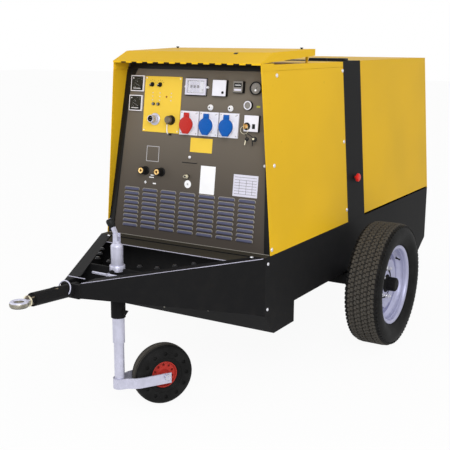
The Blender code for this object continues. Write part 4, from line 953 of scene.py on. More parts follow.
def buildLid(name, finish, across, bodyName, node):
    thick, radius, tabHalf = (lidRow["thick"], lidRow["radius"], lidRow["tab"])
    disc = addRound("lidDisc", radius, thick, steps=48)
    foot = addBlock("lidFoot", (lidRow["foot"] * 2, 0.01, thick), (0, 0.005 - lidRow["footDrop"], thick / 2))
    lid = joinPieces([disc, foot], name)
    # the round cover narrows in straight lines to its foot
    setMode("EDIT")
    selectMesh("SELECT")
    bpy.ops.mesh.convex_hull()
    selectMesh("SELECT")
    bpy.ops.mesh.dissolve_limited(angle_limit=radians(1))
    setMode("OBJECT")
    tabLow = radius - 0.012
    tab = addBlock("lidTab", (tabHalf * 2, lidRow["tabTop"] - tabLow, thick * 0.85),
        (0, (lidRow["tabTop"] + tabLow) / 2, thick * 0.425))
    merge(lid, tab)
    pushFaces(lid, upward, 0.0035, 0.0012)
    roundEdges(lid, 0.0012, 3, 30)
    ring = turnOutline("lidRing", [(0.0185, thick - 0.001), (0.0185, thick + 0.0018), (0.017, thick + 0.002),
        (0.0162, thick + 0.001), (0.0162, thick - 0.001)], 40)
    ear = addBlock("lidEar", (0.012, 0.007, 0.003), (-0.005, 0.036, thick + 0.0006), bevel=0.0012)
    pin = addRound("lidPin", 0.0024, tabHalf * 2 + 0.004, finish=brightZinc, steps=16, turned=(0, pi / 2, 0))
    place(pin, moveBy((-tabHalf - 0.002, lidRow["hinge"], 0.0024)))
    lid = joinPieces([lid, ring, ear], name)
    usePaint(lid, finish)
    place(joinPieces([lid, pin], name), onPanel(across + lidRow["shift"], lidRow["height"], lidRow["back"]))
    lid.name = name
    handOver(lid, bodyName, (node,))


def buildSocketDetails():
    for name, finish, across, bodyName, slot, node, pinCount in (
            ("redLid", socketRed, mains["across"][0], "red_lid", "red_plastic", "lid_red", 5),
            ("blueLidLeft", socketBlue, mains["across"][1], "blue_lid_1", "blue_plastic", "lid_blue_1", 3),
            ("blueLidRight", socketBlue, mains["across"][2], "blue_lid_2", "blue_plastic", "lid_blue_2", 3)):
        buildLid(name, finish, across, bodyName, node)
        buildSocket(name.replace("Lid", "Socket"), finish, across, pinCount, node.replace("lid", "socket"))
    screw = turnOutline("cornerScrew", [(0.0033, 0), (0.0031, 0.001), (0.0018, 0.0018), (0, 0.002)], 14)
    groove = addBlock("screwGroove", (0.005, 0.0008, 0.0012), (0, 0, 0.0018))
    merge(screw, groove, "DIFFERENCE")
    usePaint(screw, moduleGrey)
    spots = []
    for across in mains["across"]:
        spots += cornerSpots(across, mains["plateHeight"], mains["screwAcross"], mains["screwUp"],
            mains["screwOut"], mains["screwTurn"])
    scatter(screw, spots, "socketScrews")
    print("socket lids hung")


def buildKeyBox():
    box = {"at": (0.3015, 0.547), "size": (0.07, 0.069, 0.0152), "face": 0.0022, "key": (0.282, 0.534)}
    wide, tall, deep = box["size"]
    front = deep + box["face"]
    case = addBlock("keyCase", (wide, tall, deep), (0, 0, deep / 2), finish=keyDark, bevel=0.001)
    face = addBlock("keyFace", (wide - 0.001, tall - 0.001, box["face"]), (0, 0, deep + box["face"] / 2),
        finish=caseWhite, well=(0.002, 0.0003), bevel=0.0008)
    handOver(place(joinPieces([case, face], "keyHousing"), onPanel(*box["at"])),
        stands=("key_box",))
    bezel = turnOutline("switchBezel", [(0.0165, 0), (0.0163, 0.0026), (0.0145, 0.0042), (0.0086, 0.0042),
        (0.0082, 0.0004)], 32, finish=dialBlack)
    clamp = turnOutline("switchNut", [(0.0086, 0), (0.0086, 0.0034), (0.008, 0.005), (0.0076, 0.005),
        (0.0076, 0)], 24, finish=brightZinc)
    switch = place(joinPieces([bezel, clamp], "keySwitch"), onPanel(*box["key"], front + 0.0002))
    handOver(switch)
    # the ring hangs from the switch and stays put when the key turns, and the spare keys hang from it
    ring = {"at": (0.283, 0.518), "radius": 0.0165, "rod": 0.0008, "out": 0.0385, "keysOut": 0.033}
    spot = onPanel(*ring["at"], ring["out"]) @ turnBy(0.3, "Y")
    parts = [addLoop("keyLoop", ring["radius"], ring["rod"], 40, spot, keyPale)]
    for bowAt, bowRadius, bladeAt, bladeFinish, turn in (
            ((0.296, 0.481), 0.009, (0.2895, 0.47), keyPale, -6),
            ((0.333, 0.482), 0.0115, (0.324, 0.468), keyDark, 8)):
        bow = addRound("spareBow", bowRadius, 0.003, (0, 0, -0.0015), 24)
        merge(bow, addRound("bowHole", 0.0028, 0.01, (0, 0.005, -0.005), 16), "DIFFERENCE")
        roundEdges(bow, 0.0005, 1)
        usePaint(bow, keyDark)
        parts.append(place(bow, onPanel(*bowAt, ring["keysOut"])))
        blade = addBlock("spareBlade", (0.0058, 0.03, 0.0016), finish=bladeFinish)
        movePoints(blade, lambda p: p.y < 0 and p.x > 0, (-0.002, 0, 0))
        roundEdges(blade, 0.0003, 1)
        parts.append(place(blade, onPanel(*bladeAt, ring["keysOut"], turn)))
    # a small pale disc on the dark key bow, a painted highlight
    dot = turnOutline("keyHighlight", [(0.005, 0), (0.0046, 0.0014), (0, 0.0018)], 16, finish=keyPale)
    parts.append(place(dot, onPanel(0.327, 0.483, ring["keysOut"] + 0.001)))
    for at, long, turn in (((0.2905, 0.496), 0.022, 28), ((0.312, 0.496), 0.042, 62)):
        tag = addBlock("ringTag", (0.003, long, 0.0016), finish=keyDark, bevel=0.0005, segments=1)
        parts.append(place(tag, onPanel(*at, ring["keysOut"] + 0.0012, turn)))
    handOver(joinPieces(parts, "keyRing"))
    print("key ring hung")


def buildLabels():
    def sheet(name, low, high, finish, thick=0.0008):
        wide, tall = (high[0] - low[0], high[1] - low[1])
        piece = addBlock(name, (wide, tall, thick), (0, 0, thick / 2), finish=finish, well=(0.0016, -0.0001))
        return place(piece, onPanel((low[0] + high[0]) / 2, (low[1] + high[1]) / 2))

    for name, low, high, finish, slot in (("yellowLabel", (-0.007, 0.407), (0.107, 0.47), plateYellow,
            "yellow_paint"), ("whiteLabel", (0.057, 0.228), (0.133, 0.351), labelWhite, "grey_plastic"),
            ("greenLabel", (0.313, 0.615), (0.33, 0.623), noteYellow, "grey_plastic")):
        handOver(sheet(name, low, high, finish))

    square = {"low": (-0.242, 0.349), "high": (-0.173, 0.419), "line": 0.0024}
    middle = ((square["low"][0] + square["high"][0]) / 2, (square["low"][1] + square["high"][1]) / 2)
    wide, tall = (square["high"][0] - square["low"][0], square["high"][1] - square["low"][1])
    outline = addBlock("squareMark", (wide, tall, 0.0008), (0, 0, 0.0004))
    hole = addBlock("squareHole", (wide - 2 * square["line"], tall - 2 * square["line"], 0.01))
    merge(outline, hole, "DIFFERENCE")
    usePaint(outline, moduleGrey)
    handOver(place(outline, onPanel(*middle)))

    plate = sheet("ratingPlate", (0.227, 0.234), (0.348, 0.328), labelPlate, 0.001)
    lines = []
    for i in range(7):
        lines.append(addBlock("plateLine", (0.108, 0.0012, 0.0003), (0, -0.036 + i * 0.012, 0.001)))
    for i, across in enumerate((-0.03, 0.004, 0.034)):
        lines.append(addBlock("plateLine", (0.0012, 0.06, 0.0003), (across, -0.006, 0.001)))
    grid = joinPieces(lines, "plateGrid")
    usePaint(grid, darkSteel)
    place(grid, onPanel(0.2875, 0.281))
    rivet = turnOutline("plateRivet", [(0.003, 0), (0.0026, 0.0012), (0, 0.0018)], 14, finish=brightZinc)
    spots = cornerSpots(0.2875, 0.281, 0.0565, 0.043, 0.001)
    rivets = copyToSpots(rivet, spots, "rivets")
    handOver(joinPieces([plate, grid, rivets], "ratingPlate"))

    badge = turnOutline("earthBadge", [(0.0175, 0), (0.0175, 0.0006), (0.016, 0.0009), (0, 0.0009)], 40,
        finish=labelWhite)
    centre = addRound("badgeMark", 0.005, 0.0003, (0, 0, 0.0008), 16, 0.0046, finish=moduleGrey)
    handOver(place(joinPieces([badge, centre], "earthBadge"), onPanel(-0.007, 0.263)))

    marks = []
    for size, at in (((0.013, 0.0045), (-0.239, 0.252)), ((0.0045, 0.013), (-0.239, 0.252)),
            ((0.017, 0.006), (-0.188, 0.25)), ((0.026, 0.0045), (-0.206, 0.277)),
            ((0.02, 0.0045), (-0.202, 0.287))):
        mark = addBlock("mark", (*size, 0.0005), (0, 0, 0.00025), bevel=0.0002, segments=1)
        marks.append(place(mark, onPanel(*at)))
    for mark in marks:
        usePaint(mark, labelWhite)
    handOver(joinPieces(marks, "polarityMarks"))
    print("labels stuck")


def domeScrew(name, radius, height, finish):
    screw = turnOutline(name, [(radius, 0), (radius * 0.98, height * 0.3), (radius * 0.8, height * 0.72),
        (radius * 0.45, height * 0.95), (0, height)], 20, finish=finish)
    return screw


def buildPanelScrews():
    spots = [onPanel(-0.0065, 0.383), onPanel(-0.386, 0.392), onPanel(0.374, 0.373)]
    screws = copyToSpots(domeScrew("panelScrew", 0.0075, 0.005, brightZinc), spots, "panelScrews")
    handOver(screws)
    vent = {"at": (-0.005, 0.358), "wide": 0.08, "high": 0.0044}
    # the dark slit under the brow is painted shadow in the pressed slot
    slit = addBlock("slotDark", (vent["wide"], vent["high"], 0.001), (0, 0, 0.0004), finish=dialBlack,
        bevel=0.0012)
    brow = addBlock("slotBrow", (vent["wide"] + 0.004, 0.009, 0.0034), (0, 0.0062, 0.0017), finish=panelGrey)
    movePoints(brow, lambda p: p.y > 0.01 and p.z > 0.001, (0, 0, -0.0032))
    movePoints(brow, lambda p: abs(p.x) > 0.04 and p.z > 0.003, (0, 0, -0.0012))
    roundEdges(brow, 0.0008, 2)
    lip = addBlock("slotLip", (vent["wide"] - 0.02, 0.008, 0.0012), (0, -0.0085, 0.0004), finish=panelGrey,
        bevel=0.0005, segments=1)
    handOver(place(joinPieces([slit, brow, lip], "panelSlot"), onPanel(*vent["at"])))


def buildWeldSockets():
    weld = {"radius": 0.0172, "long": 0.041, "flange": 0.0205, "bore": 0.0056, "contact": 0.0132,
        "at": (-0.241, -0.153), "height": 0.305, "earth": (-0.01, 0.297), "earthTurn": 8}
    radius, long = (weld["radius"], weld["long"])
    outline = [(weld["flange"], 0), (weld["flange"], 0.005), (weld["flange"] - 0.0015, 0.0065),
        (radius, 0.007), (radius, long - 0.003), (radius - 0.0015, long - 0.0015),
        (weld["contact"], long - 0.0015), (weld["contact"], 0.01), (0, 0.01)]
    barrel = turnOutline("weldBarrel", outline, 36, finish=dialBlack)
    end = turnOutline("weldContact", [(weld["contact"], 0.012), (weld["contact"], long - 0.0012),
        (weld["contact"] - 0.001, long), (weld["bore"] + 0.0008, long), (weld["bore"], long - 0.001),
        (weld["bore"], 0.012)], 36, finish=slotFinish["brass"])
    socket = joinPieces([barrel, end], "weldSocket")
    other = copyPiece(socket, onPanel(weld["at"][1], weld["height"]))
    handOver(place(socket, onPanel(weld["at"][0], weld["height"])), stands=("weld_socket_plus",))
    socket.name = "weldSocketPlus"
    other.name = "weldSocketMinus"
    handOver(other, stands=("weld_socket_minus",))
    stud = turnOutline("earthStud", [(0.01, 0), (0.01, 0.003), (0.0045, 0.0032), (0.0045, 0.027),
        (0.0035, 0.028), (0, 0.028)], 20, finish=darkSteel)
    nut = turnOutline("wingHub", [(0.0095, 0.008), (0.0085, 0.018), (0.007, 0.02), (0.0045, 0.02),
        (0.0045, 0.008)], 20)
    wing = addRound("wingNut", 0.014, 0.009, (0, 0, 0.012), 8, 0.012)
    wing.scale = (1, 0.62, 1)
    settle(wing)
    roundEdges(wing, 0.0018, 3)
    for part in (nut, wing):
        usePaint(part, keyPale)
    earth = joinPieces([stud, nut, wing], "earthNut")
    handOver(place(earth, onPanel(*weld["earth"], 0.0, weld["earthTurn"])))
    print("weld sockets fitted")


def buildBodyBolts():
    sides = ((-0.368, 1.3591), (0.314, 1.3607), (0.303, 1.0186), (0.311, 0.6788), (-0.4285, 0.9878),
        (-0.485, 0.6396))
    spots = [onSide(side, length, height, -0.0004) for side in (-1, 1) for length, height in sides]
    bolts = copyToSpots(domeScrew("sideBolt", 0.009, 0.005, brightZinc), spots, "sideBolts")
    handOver(bolts)
    half = body["baseWidth"] / 2
    spots = [frameOf((0, side, 0), (0, 0, 1), (side, 0, 0), (side * half, -0.52, height)) for side in (-1, 1)
        for height in (0.585, 0.386)]
    bolts = copyToSpots(domeScrew("baseBolt", 0.0075, 0.0045, brightZinc), spots, "baseBolts")
    handOver(bolts)
    spots = [moveBy((across, length, 0.6147)) for across, length in ((-0.38, -0.5575), (0.38, -0.5575))]
    scatter(domeScrew("ledgeBolt", 0.008, 0.005, brightZinc), spots, "ledgeBolts")
    spots = [facingFront((across, -0.542, height)) for across, height in ((-0.081, 0.316), (0.154, 0.34))]
    scatter(domeScrew("frontMark", 0.0045, 0.0022, louvreRim), spots, "frontMarks")
    hexHead = addRound("hexHead", 0.0085, 0.006, steps=6)
    roundEdges(hexHead, 0.001, 2)
    washer = turnOutline("washer", [(0.011, 0), (0.011, 0.0014), (0.01, 0.0018), (0, 0.0018)], 24)
    place(hexHead, moveBy((0, 0, 0.0016)))
    bolt = joinPieces([hexHead, washer], "hexBolt")
    usePaint(bolt, darkSteel)
    heads = ((0.151, -0.916), (0.192, -0.851), (0.237, -0.782), (0.078, -0.933))
    spots = [moveBy((side * across, length, 0.6147)) @ turnBy(length * 5, "Z") for side in (-1, 1) for across,
        length in heads]
    scatter(bolt, spots, "drawbarBolts")
    print("body bolts fitted")


def buildRoofItems():
    deckCopy = copyPiece(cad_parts["canopy"])
    deckCopy.name = "canopySheet"
    setMode("EDIT")
    selectMesh("SELECT")
    bpy.ops.mesh.remove_doubles(threshold=weldGap)
    setMode("OBJECT")
    roof = {"slot": (0.2087, -0.4105, 1.4478), "stem": 0.005, "bolts": (0.337, -0.046),
        "bumpers": (0.2015, 0.3045), "bumperLength": 0.43, "cheek": (0.3772, -0.44, 1.3895), "ribs": 46,
        "ribPitch": 0.012, "rises": ((1.3903, 0.0122), (1.3994, 0.0086), (1.4045, 0.004))}
    for level, rise in reversed(roof["rises"]):
        movePoints(deckCopy, lambda p: p.y < -0.49 and abs(p.z - level) < 0.0006, (0, 0, rise))
    handOver(deckCopy, stands=("canopy",))
    lock = addBlock("roofSlot", (0.019, 0.015, 0.0012), (0, 0, 0.0004), finish=dialBlack, bevel=0.001)
    handOver(place(lock, frameOf((1, 0, 0), (0, 0.92, 0.39), (0, -0.39, 0.92), roof["slot"])))
    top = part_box("canopy")[1].z
    cap = turnOutline("roofBolt", [(0.0095, 0), (0.0095, 0.0018), (0.005, 0.002),
        (0.005, roof["stem"] + 0.002), (0.008, roof["stem"] + 0.002), (0.0075, roof["stem"] + 0.0045),
        (0, roof["stem"] + 0.005)], 20, finish=dialBlack)
    across, length = roof["bolts"]
    spots = [moveBy((side * across, length, top - 0.004)) for side in (-1, 1)]
    scatter(cap, spots, "roofBolts")
    lump = addBlock("roofBumper", (0.094, 0.05, 0.013), (0, 0, 0.0065), finish=dialBlack, well=(0.007, 0.0),
        bevel=0.005, segments=4)
    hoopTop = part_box("centre_hoop")[1].z
    spots = [moveBy((side * across, roof["bumperLength"], hoopTop - 0.001)) for side in (-1, 1)
        for across in roof["bumpers"]]
    scatter(lump, spots, "roofBumpers")
    gasket = addBlock("hemGasket", (0.75, 0.009, 0.0062), (0, -0.492, 1.406), finish=dialBlack, bevel=0.0008,
        segments=1)
    handOver(gasket)
    across, length, height = roof["cheek"]
    cheeks = []
    for side in (-1, 1):
        cheek = addBlock("cheekFiller", (0.005, 0.104, 0.039), (side * across, length, height), bevel=0.0006,
            segments=1)
        cheeks.append(cheek)
    filler = joinPieces(cheeks, "cheekFillers")
    usePaint(filler, hoodYellow)
    handOver(filler)
    plate = addBlock("rearBaffle", (0.56, 0.003, 0.56), (0, 1.54, 0.98))
    rib = addBlock("baffleRib", (0.004, 0.004, 0.55), (-0.27, 1.5425, 0.98))
    repeat(rib, roof["ribs"], (roof["ribPitch"], 0, 0))
    baffle = joinPieces([plate, rib], "rearBaffle")
    usePaint(baffle, trayBlack)
    handOver(baffle)
    print("roof items fitted")


def edgeStrip(name, start, end, thick=0.0026):
    start, end = (Vector(start), Vector(end))
    length = (end - start).length
    strip = addBlock(name, (length, thick, thick), (length / 2, 0, 0), finish=edgeHighlight, bevel=thick * 0.3,
        segments=1)
    along = (end - start).normalized()
    across = Vector((0, 0, 1)).cross(along).normalized()
    return place(strip, frameOf(along, across, along.cross(across), start))


def buildSealAndShadow():
    # a black strip round the panel, under the canopy and along both cheeks: a rubber seal, with painted
    # shadow beside the cheeks and under the canopy
    seal = {"wide": 0.03, "thick": 0.005, "foot": 0.419, "top": 0.364, "height": 0.77}
    tilt = degrees(atan((seal["foot"] - seal["top"]) / seal["height"]))
    parts = []
    for side in (-1, 1):
        strip = addBlock("sealStrip", (seal["wide"], seal["height"], seal["thick"]),
            (0, 0, seal["thick"] / 2), bevel=0.0018, segments=3)
        middle = side * (seal["foot"] + seal["top"]) / 2
        parts.append(place(strip, onPanel(middle, seal["height"] / 2 + 0.004, 0, side * tilt)))
    for side in (-1, 1):
        # the corners under the canopy are wider, painted shadow above the meters
        corner = addBlock("sealCornerShadow", (0.06, 0.06, 0.003), (0, 0, 0.0015))
        movePoints(corner, lambda p: p.y < 0 and p.x * side < 0, (side * 0.03, 0, 0))
        parts.append(place(corner, onPanel(side * 0.346, 0.744)))
    strip = addBlock("sealStrip", (seal["top"] * 2, 0.0255, seal["thick"]), (0, 0, seal["thick"] / 2),
        bevel=0.0018, segments=3)
    parts.append(place(strip, onPanel(0, seal["height"] + 0.0085)))
    piece = joinPieces(parts, "panelSealAndShadow")
    usePaint(piece, dialBlack)
    handOver(piece)


def buildEdges():
    # painted highlights along the folded edges of the sheets at the front, lighter lines where the bends
    # catch the light
    runs = (((-0.43, -0.4938, 0.6158), (0.43, -0.4938, 0.6158)),
        ((-0.371, -0.6468, 0.6098), (0.371, -0.6468, 0.6098)),
        ((0.037, -1.24, 0.615), (0.434, -0.556, 0.615)),
        ((-0.042, -1.2215, 0.6289), (0.042, -1.2215, 0.6289)))
    strips = [edgeStrip("edge", *run) for run in runs]
    # the panel foot line takes the pale rim colour as a painted highlight
    usePaint(strips[0], louvreRim)
    handOver(joinPieces(strips, "highlightEdges"))
    sheets = []
    for wide, low, high, top, taper in ((0.87, -0.541, -0.498, 0.6147, 0),
            (0.858, -0.645, -0.543, 0.6094, 0.058)):
        sheet = addBlock("topSheet", (wide, high - low, 0.0012), (0, (low + high) / 2, top + 0.0003))
        movePoints(sheet, lambda p: p.y < (low + high) / 2 and p.x < 0, (taper, 0, 0))
        movePoints(sheet, lambda p: p.y < (low + high) / 2 and p.x > 0, (-taper, 0, 0))
        roundEdges(sheet, 0.0004, 1)
        sheets.append(sheet)
    cover = joinPieces(sheets, "topSheets")
    usePaint(cover, coverOlive)
    handOver(cover)
    print("edges drawn")


def ringOfBlocks(name, size, radius, shift, count, turn, finish, taper, twist):
    block = addBlock(name, size, (0, 0, size[2] / 2))
    place(block, turnBy(radians(twist), "Z"))
    pickParts(block, "FACE", upward)
    bpy.ops.transform.resize(value=(taper, taper, 1))
    setMode("OBJECT")
    onEdge = turnBy(pi / 2, "Y")
    spots = [spot @ onEdge for spot in ringSpots(count, (radius, 0, shift), 2 * pi * turn / count)]
    usePaint(block, finish)
    return copyToSpots(block, spots, name)


def buildRoadWheel(side):
    label = "Right" if side > 0 else "Left"
    nodeSide = "right" if side > 0 else "left"
    spot = onWheel(side)
    tyre = {"radius": 0.306, "bead": 0.187, "blocks": 80, "ribPitch": 0.0344, "rowShift": 0.0072}
    centre = spot.translation
    rubber = tyreRubber("road tyre " + nodeSide, tuple(centre), (1, 0, 0), 0.2985, 0.0085)
    floor = tyre["radius"] - 0.0065
    half = [(tyre["bead"], 0.046), (0.19, 0.0585), (0.1965, 0.059), (0.2035, 0.064), (0.2065, 0.07),
        (0.23, 0.084), (0.248, 0.089), (0.264, 0.09), (0.28, 0.0868), (0.2905, 0.0815), (0.2965, 0.076),
        (0.2988, 0.07), (floor, 0.064), (floor + 0.0006, 0.03)]
    carcass = turnOutline("tyreCarcass", bothWays(half), 96, finish=rubber)
    parts = [carcass]
    for row in range(8):
        # four ribs with grooves between them, each of two staggered rows of turned blocks
        rib = (row // 2 - 1.5) * tyre["ribPitch"]
        shift = rib + (tyre["rowShift"] if row % 2 else -tyre["rowShift"])
        outer = row in (0, 7)
        top = tyre["radius"] + (0.0004 if outer else 0.0024)
        around = 2 * pi * tyre["radius"] / tyre["blocks"] * 0.78
        parts.append(ringOfBlocks("treadBlock", (0.0136, around, 0.007), top - 0.007, shift, tyre["blocks"],
            0.5 * (row % 2) + 0.13 * row, rubber, 0.92, 18 if row % 2 else -18))
    for edge in (-1, 1):
        parts.append(ringOfBlocks("shoulderLug", (0.0135, 0.015, 0.0055), 0.293, edge * 0.0765,
            tyre["blocks"], 0.3 * edge, rubber, 0.8, 0))
    tyrePiece = place(joinPieces(parts, "roadTyre" + label), spot)
    handOver(tyrePiece, "wheel_" + nodeSide, ("tyre_" + nodeSide,), 30)

    rim = {"face": 0.0123, "hole": 0.046, "vents": 10, "nuts": 5, "nutReach": 0.0765}
    flange = [(0.1815, -0.06), (0.199, -0.0635), (0.199, -0.0605), (0.1845, -0.057), (0.1845, -0.044),
        (0.164, -0.034), (0.164, 0.012), (0.1845, 0.024), (0.1845, 0.057), (0.1975, 0.0595), (0.1995, 0.0618),
        (0.1978, 0.0636), (0.19, 0.0632), (0.1835, 0.06), (0.1805, 0.054), (0.18, 0.045), (0.1775, 0.043),
        (0.1772, 0.028), (0.172, 0.02), (0.1595, 0.0095), (0.1595, -0.036), (0.1795, -0.047), (0.18, -0.056)]
    wheelRim = turnOutline("wheelRim", flange, 72)
    face = rim["face"]
    disc = [(0.1592, -0.006), (0.1592, 0.0005), (0.15, 0.003), (0.14, 0.006), (0.125, face + 0.006),
        (0.115, face + 0.0052), (0.103, face), (0.085, face - 0.001), (0.064, face - 0.0006),
        (0.056, face + 0.0042), (rim["hole"], face + 0.0046), (rim["hole"], face - 0.001),
        (0.056, face - 0.002), (0.064, face - 0.0062), (0.103, face - 0.006), (0.125, face + 0.0004),
        (0.14, -0.0002), (0.15, -0.004)]
    wheelDisc = turnOutline("wheelDisc", disc, 72)
    slot = addRound("ventSlot", 0.0115, 0.08, (0.131, 0, -0.04), 24)
    slot.scale = (1, 1.35, 1)
    settle(slot)
    spots = ringSpots(rim["vents"], start=pi / rim["vents"])
    merge(wheelDisc, copyToSpots(slot, spots, "ventSlots"), "DIFFERENCE")
    wheelPiece = joinPieces([wheelRim, wheelDisc], "roadRim" + label)
    usePaint(wheelPiece, wheelSilver)
    nut = addRound("wheelNut", 0.011, 0.015, steps=6)
    roundEdges(nut, 0.0012, 2)
    cone = turnOutline("nutSeat", [(0.014, 0), (0.0125, 0.0035), (0, 0.0035)], 20)
    stud = turnOutline("wheelStud", [(0.0062, 0.014), (0.0062, 0.0205), (0.0052, 0.0215), (0, 0.0215)], 16)
    wheelNut = joinPieces([nut, cone, stud], "wheelNut")
    usePaint(wheelNut, brightZinc)
    spots = ringSpots(rim["nuts"], (rim["nutReach"], 0, face - 0.0012), pi / 2 / rim["nuts"])
    nuts = copyToSpots(wheelNut, spots, "wheelNuts")
    valve = turnOutline("valve", [(0.0052, 0), (0.005, 0.008), (0.0036, 0.011), (0.0036, 0.019),
        (0.0044, 0.02), (0.0044, 0.026), (0, 0.027)], 16, finish=dialBlack)
    place(valve, turnBy(2.25, "Z") @ moveBy((0.166, 0, 0.014)) @ turnBy(-0.35, "Y"))
    wheelPiece = place(joinPieces([wheelPiece, nuts, valve], "roadRim" + label), spot)
    handOver(wheelPiece, "wheel_" + nodeSide, ("rim_" + nodeSide,))


def buildJockeyWheel():
    spot = onJockey()
    rubber = tyreRubber("jockey tyre", jockey["centre"], jockey["axis"], 0.127, 0.006)
    half = [(0.0572, 0.026), (0.061, 0.03), (0.068, 0.031), (0.074, 0.0318), (0.076, 0.0345), (0.098, 0.0374),
        (0.11, 0.0368), (0.119, 0.033), (0.1255, 0.027), (0.1285, 0.019), (0.129, 0.015), (0.125, 0.0142),
        (0.125, 0.0112), (0.1298, 0.0104), (0.13, 0.003)]
    tyre = turnOutline("jockeyTyre", bothWays(half), 80, finish=rubber)
    dimple = addRound("sideDimple", 0.0095, 0.008, steps=16, tip=0.008)
    cells = []
    for way in (-1, 1):
        flip = turnBy(0 if way > 0 else pi, "X")
        cells += [spot @ flip @ moveBy((0, 0, -0.008))
            for spot in ringSpots(jockey["dimples"], (jockey["dimpleReach"], 0, way * 0.039))]
    merge(tyre, copyToSpots(dimple, cells, "sideDimples"), "DIFFERENCE")
    handOver(place(tyre, spot), "jockey_wheel", ("jockey_tyre",), 30)
    hub = {"radius": 0.057, "holes": 10, "ring": 0.04, "hole": 0.0054}
    outline = [(hub["radius"], 0.025), (hub["radius"] - 0.0025, 0.0262), (0.052, 0.025), (0.05, 0.017),
        (0.03, 0.014), (0.023, 0.018), (0.019, 0.035), (0.017, 0.0448), (0.0095, 0.0448), (0.0095, 0.001)]
    wheel = turnOutline("jockeyHub", bothWays(outline), 60)
    hole = addRound("hubHole", hub["hole"], 0.08, (hub["ring"], 0, -0.04), 16)
    merge(wheel, copyToSpots(hole, ringSpots(hub["holes"]), "hubHoles"), "DIFFERENCE")
    usePaint(wheel, hubRed)
    usePaint(wheel, darkSteel, lambda c, n: hypot(c.x, c.y) < 0.01)
    handOver(place(wheel, spot), "jockey_wheel", ("jockey_hub",), 40)
    end = turnOutline("axleEnd", [(0.0115, 0.058), (0.0115, 0.0605), (0.0105, 0.062), (0.007, 0.062),
        (0.006, 0.061), (0.006, 0.0596), (0, 0.0596)], 24, finish=brightZinc)
    usePaint(end, dialBlack, lambda c, n: hypot(c.x, c.y) < 0.006)
    handOver(place(end, spot), "castor")
    sleeve = turnOutline("socketSleeve", [(0.0254, 0.599), (0.0316, 0.599), (0.0316, 0.621), (0.0306, 0.6226),
        (0.0254, 0.6226)], 40, finish=lavenderZinc)
    handOver(place(sleeve, moveBy((0, -0.977, 0))))
    rib = addBlock("socketRib", (0.028, 0.006, 0.026), (0.042, -0.983, 0.428), finish=trayBlack)
    movePoints(rib, lambda p: p.x > 0.05 and p.z < 0.42, (-0.018, 0, 0))
    roundEdges(rib, 0.001, 2)
    handOver(rib)
    low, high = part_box("crank_knob")
    knob = turnOutline("crankKnob", [(0.008, -0.019), (0.0125, -0.015), (0.0158, -0.006), (0.0168, 0.005),
        (0.016, 0.012), (0.0125, 0.0165), (0.006, 0.0185), (0, 0.0188)], 32, finish=dialBlack)
    # the top of the black knob is painted pale zinc as a painted highlight
    usePaint(knob, lavenderZinc, lambda c, n: c.z > 0.015)
    along = Vector((-0.469472, 0, 0.882948))
    spot = frameOf(Vector((0, 1, 0)).cross(along), (0, 1, 0), along, (low + high) / 2)
    handOver(place(knob, spot), "crank_grip", ("crank_knob",))
    print("jockey wheel turned")


def buildTowEye():
    eye = {"centre": (0, -1.522, 0.604), "hole": 0.0178, "outer": 0.0345, "half": 0.0105,
        "loop": (0.0285, 0.0026, 36), "loopAt": (0, -1.29, 0.603), "boltAt": (0, -1.477, 0.616),
        "tube": (0, -1.337, 0.604), "tubeRadius": 0.018, "tubeLong": 0.145}
    half, outer, hole = (eye["half"], eye["outer"], eye["hole"])
    radius, long = (eye["tubeRadius"], eye["tubeLong"])
    ring = turnOutline("towRing", [(outer - 0.0045, half), (outer - 0.0012, half - 0.0035), (outer, 0),
        (outer - 0.0012, 0.0035 - half), (outer - 0.0045, -half), (hole + 0.003, -half), (hole, 0.003 - half),
        (hole, half - 0.003), (hole + 0.003, half)], 48)
    place(ring, moveBy(eye["centre"]))
    neck = addBlock("towNeck", (0.034, 0.038, 0.018), (0, -1.484, 0.603), bevel=0.004, segments=3)
    keepHole = addRound("towHole", hole + 0.001, 0.1, (0, eye["centre"][1], 0.56), 32)
    merge(neck, keepHole, "DIFFERENCE")
    tube = turnOutline("towTube", [(radius, 0), (radius, long - 0.004), (0.0205, long - 0.0035),
        (0.0205, long - 0.001), (0.019, long), (0.015, long), (0.014, long - 0.006), (0, long - 0.006)], 40,
        finish=keyPale)
    place(tube, facingFront(eye["tube"]))
    bolt = turnOutline("towBolt", [(0.009, 0), (0.0088, 0.005), (0.006, 0.007), (0, 0.0074)], 24,
        finish=capBronze)
    place(bolt, facingFront(eye["boltAt"]))
    # painted light and shade by facing: bright zinc on top, darker steel on the sides, dark steel underneath
    for part in (ring, neck):
        usePaint(part, lavenderZinc)
        usePaint(part, sideShadeSteel, lambda c, n: n.z < 0.35)
        usePaint(part, darkSteel, lambda c, n: n.z < -0.35)
    usePaint(tube, trayBlack, lambda c, n: c.y > -1.474)
    usePaint(tube, capBronze, lambda c, n: abs(c.x) < 0.0148 and abs(c.z - 0.604) < 0.0148
        and (c.y > -1.4815))
    handOver(joinPieces([ring, neck, tube, bolt], "towEye"), stands=("tow_eye",))
    spot = moveBy(eye["loopAt"]) @ turnBy(1.3, "X")
    handOver(addLoop("cableLoop", *eye["loop"], spot, lavenderZinc))
    print("tow eye fitted")


for build in (buildLouvres, buildMeters, buildInstrument, buildHourMeter, buildGauge, buildPanelRounds,
        buildPlateDetails, buildRemoteSockets, buildBreakers, buildSocketDetails, buildKeyBox, buildLabels,
        buildPanelScrews, buildWeldSockets, buildBodyBolts, buildRoofItems, buildSealAndShadow, buildEdges):
    build()
for side in (-1, 1):
    buildRoadWheel(side)
print("road wheels turned")
buildJockeyWheel()
buildTowEye()


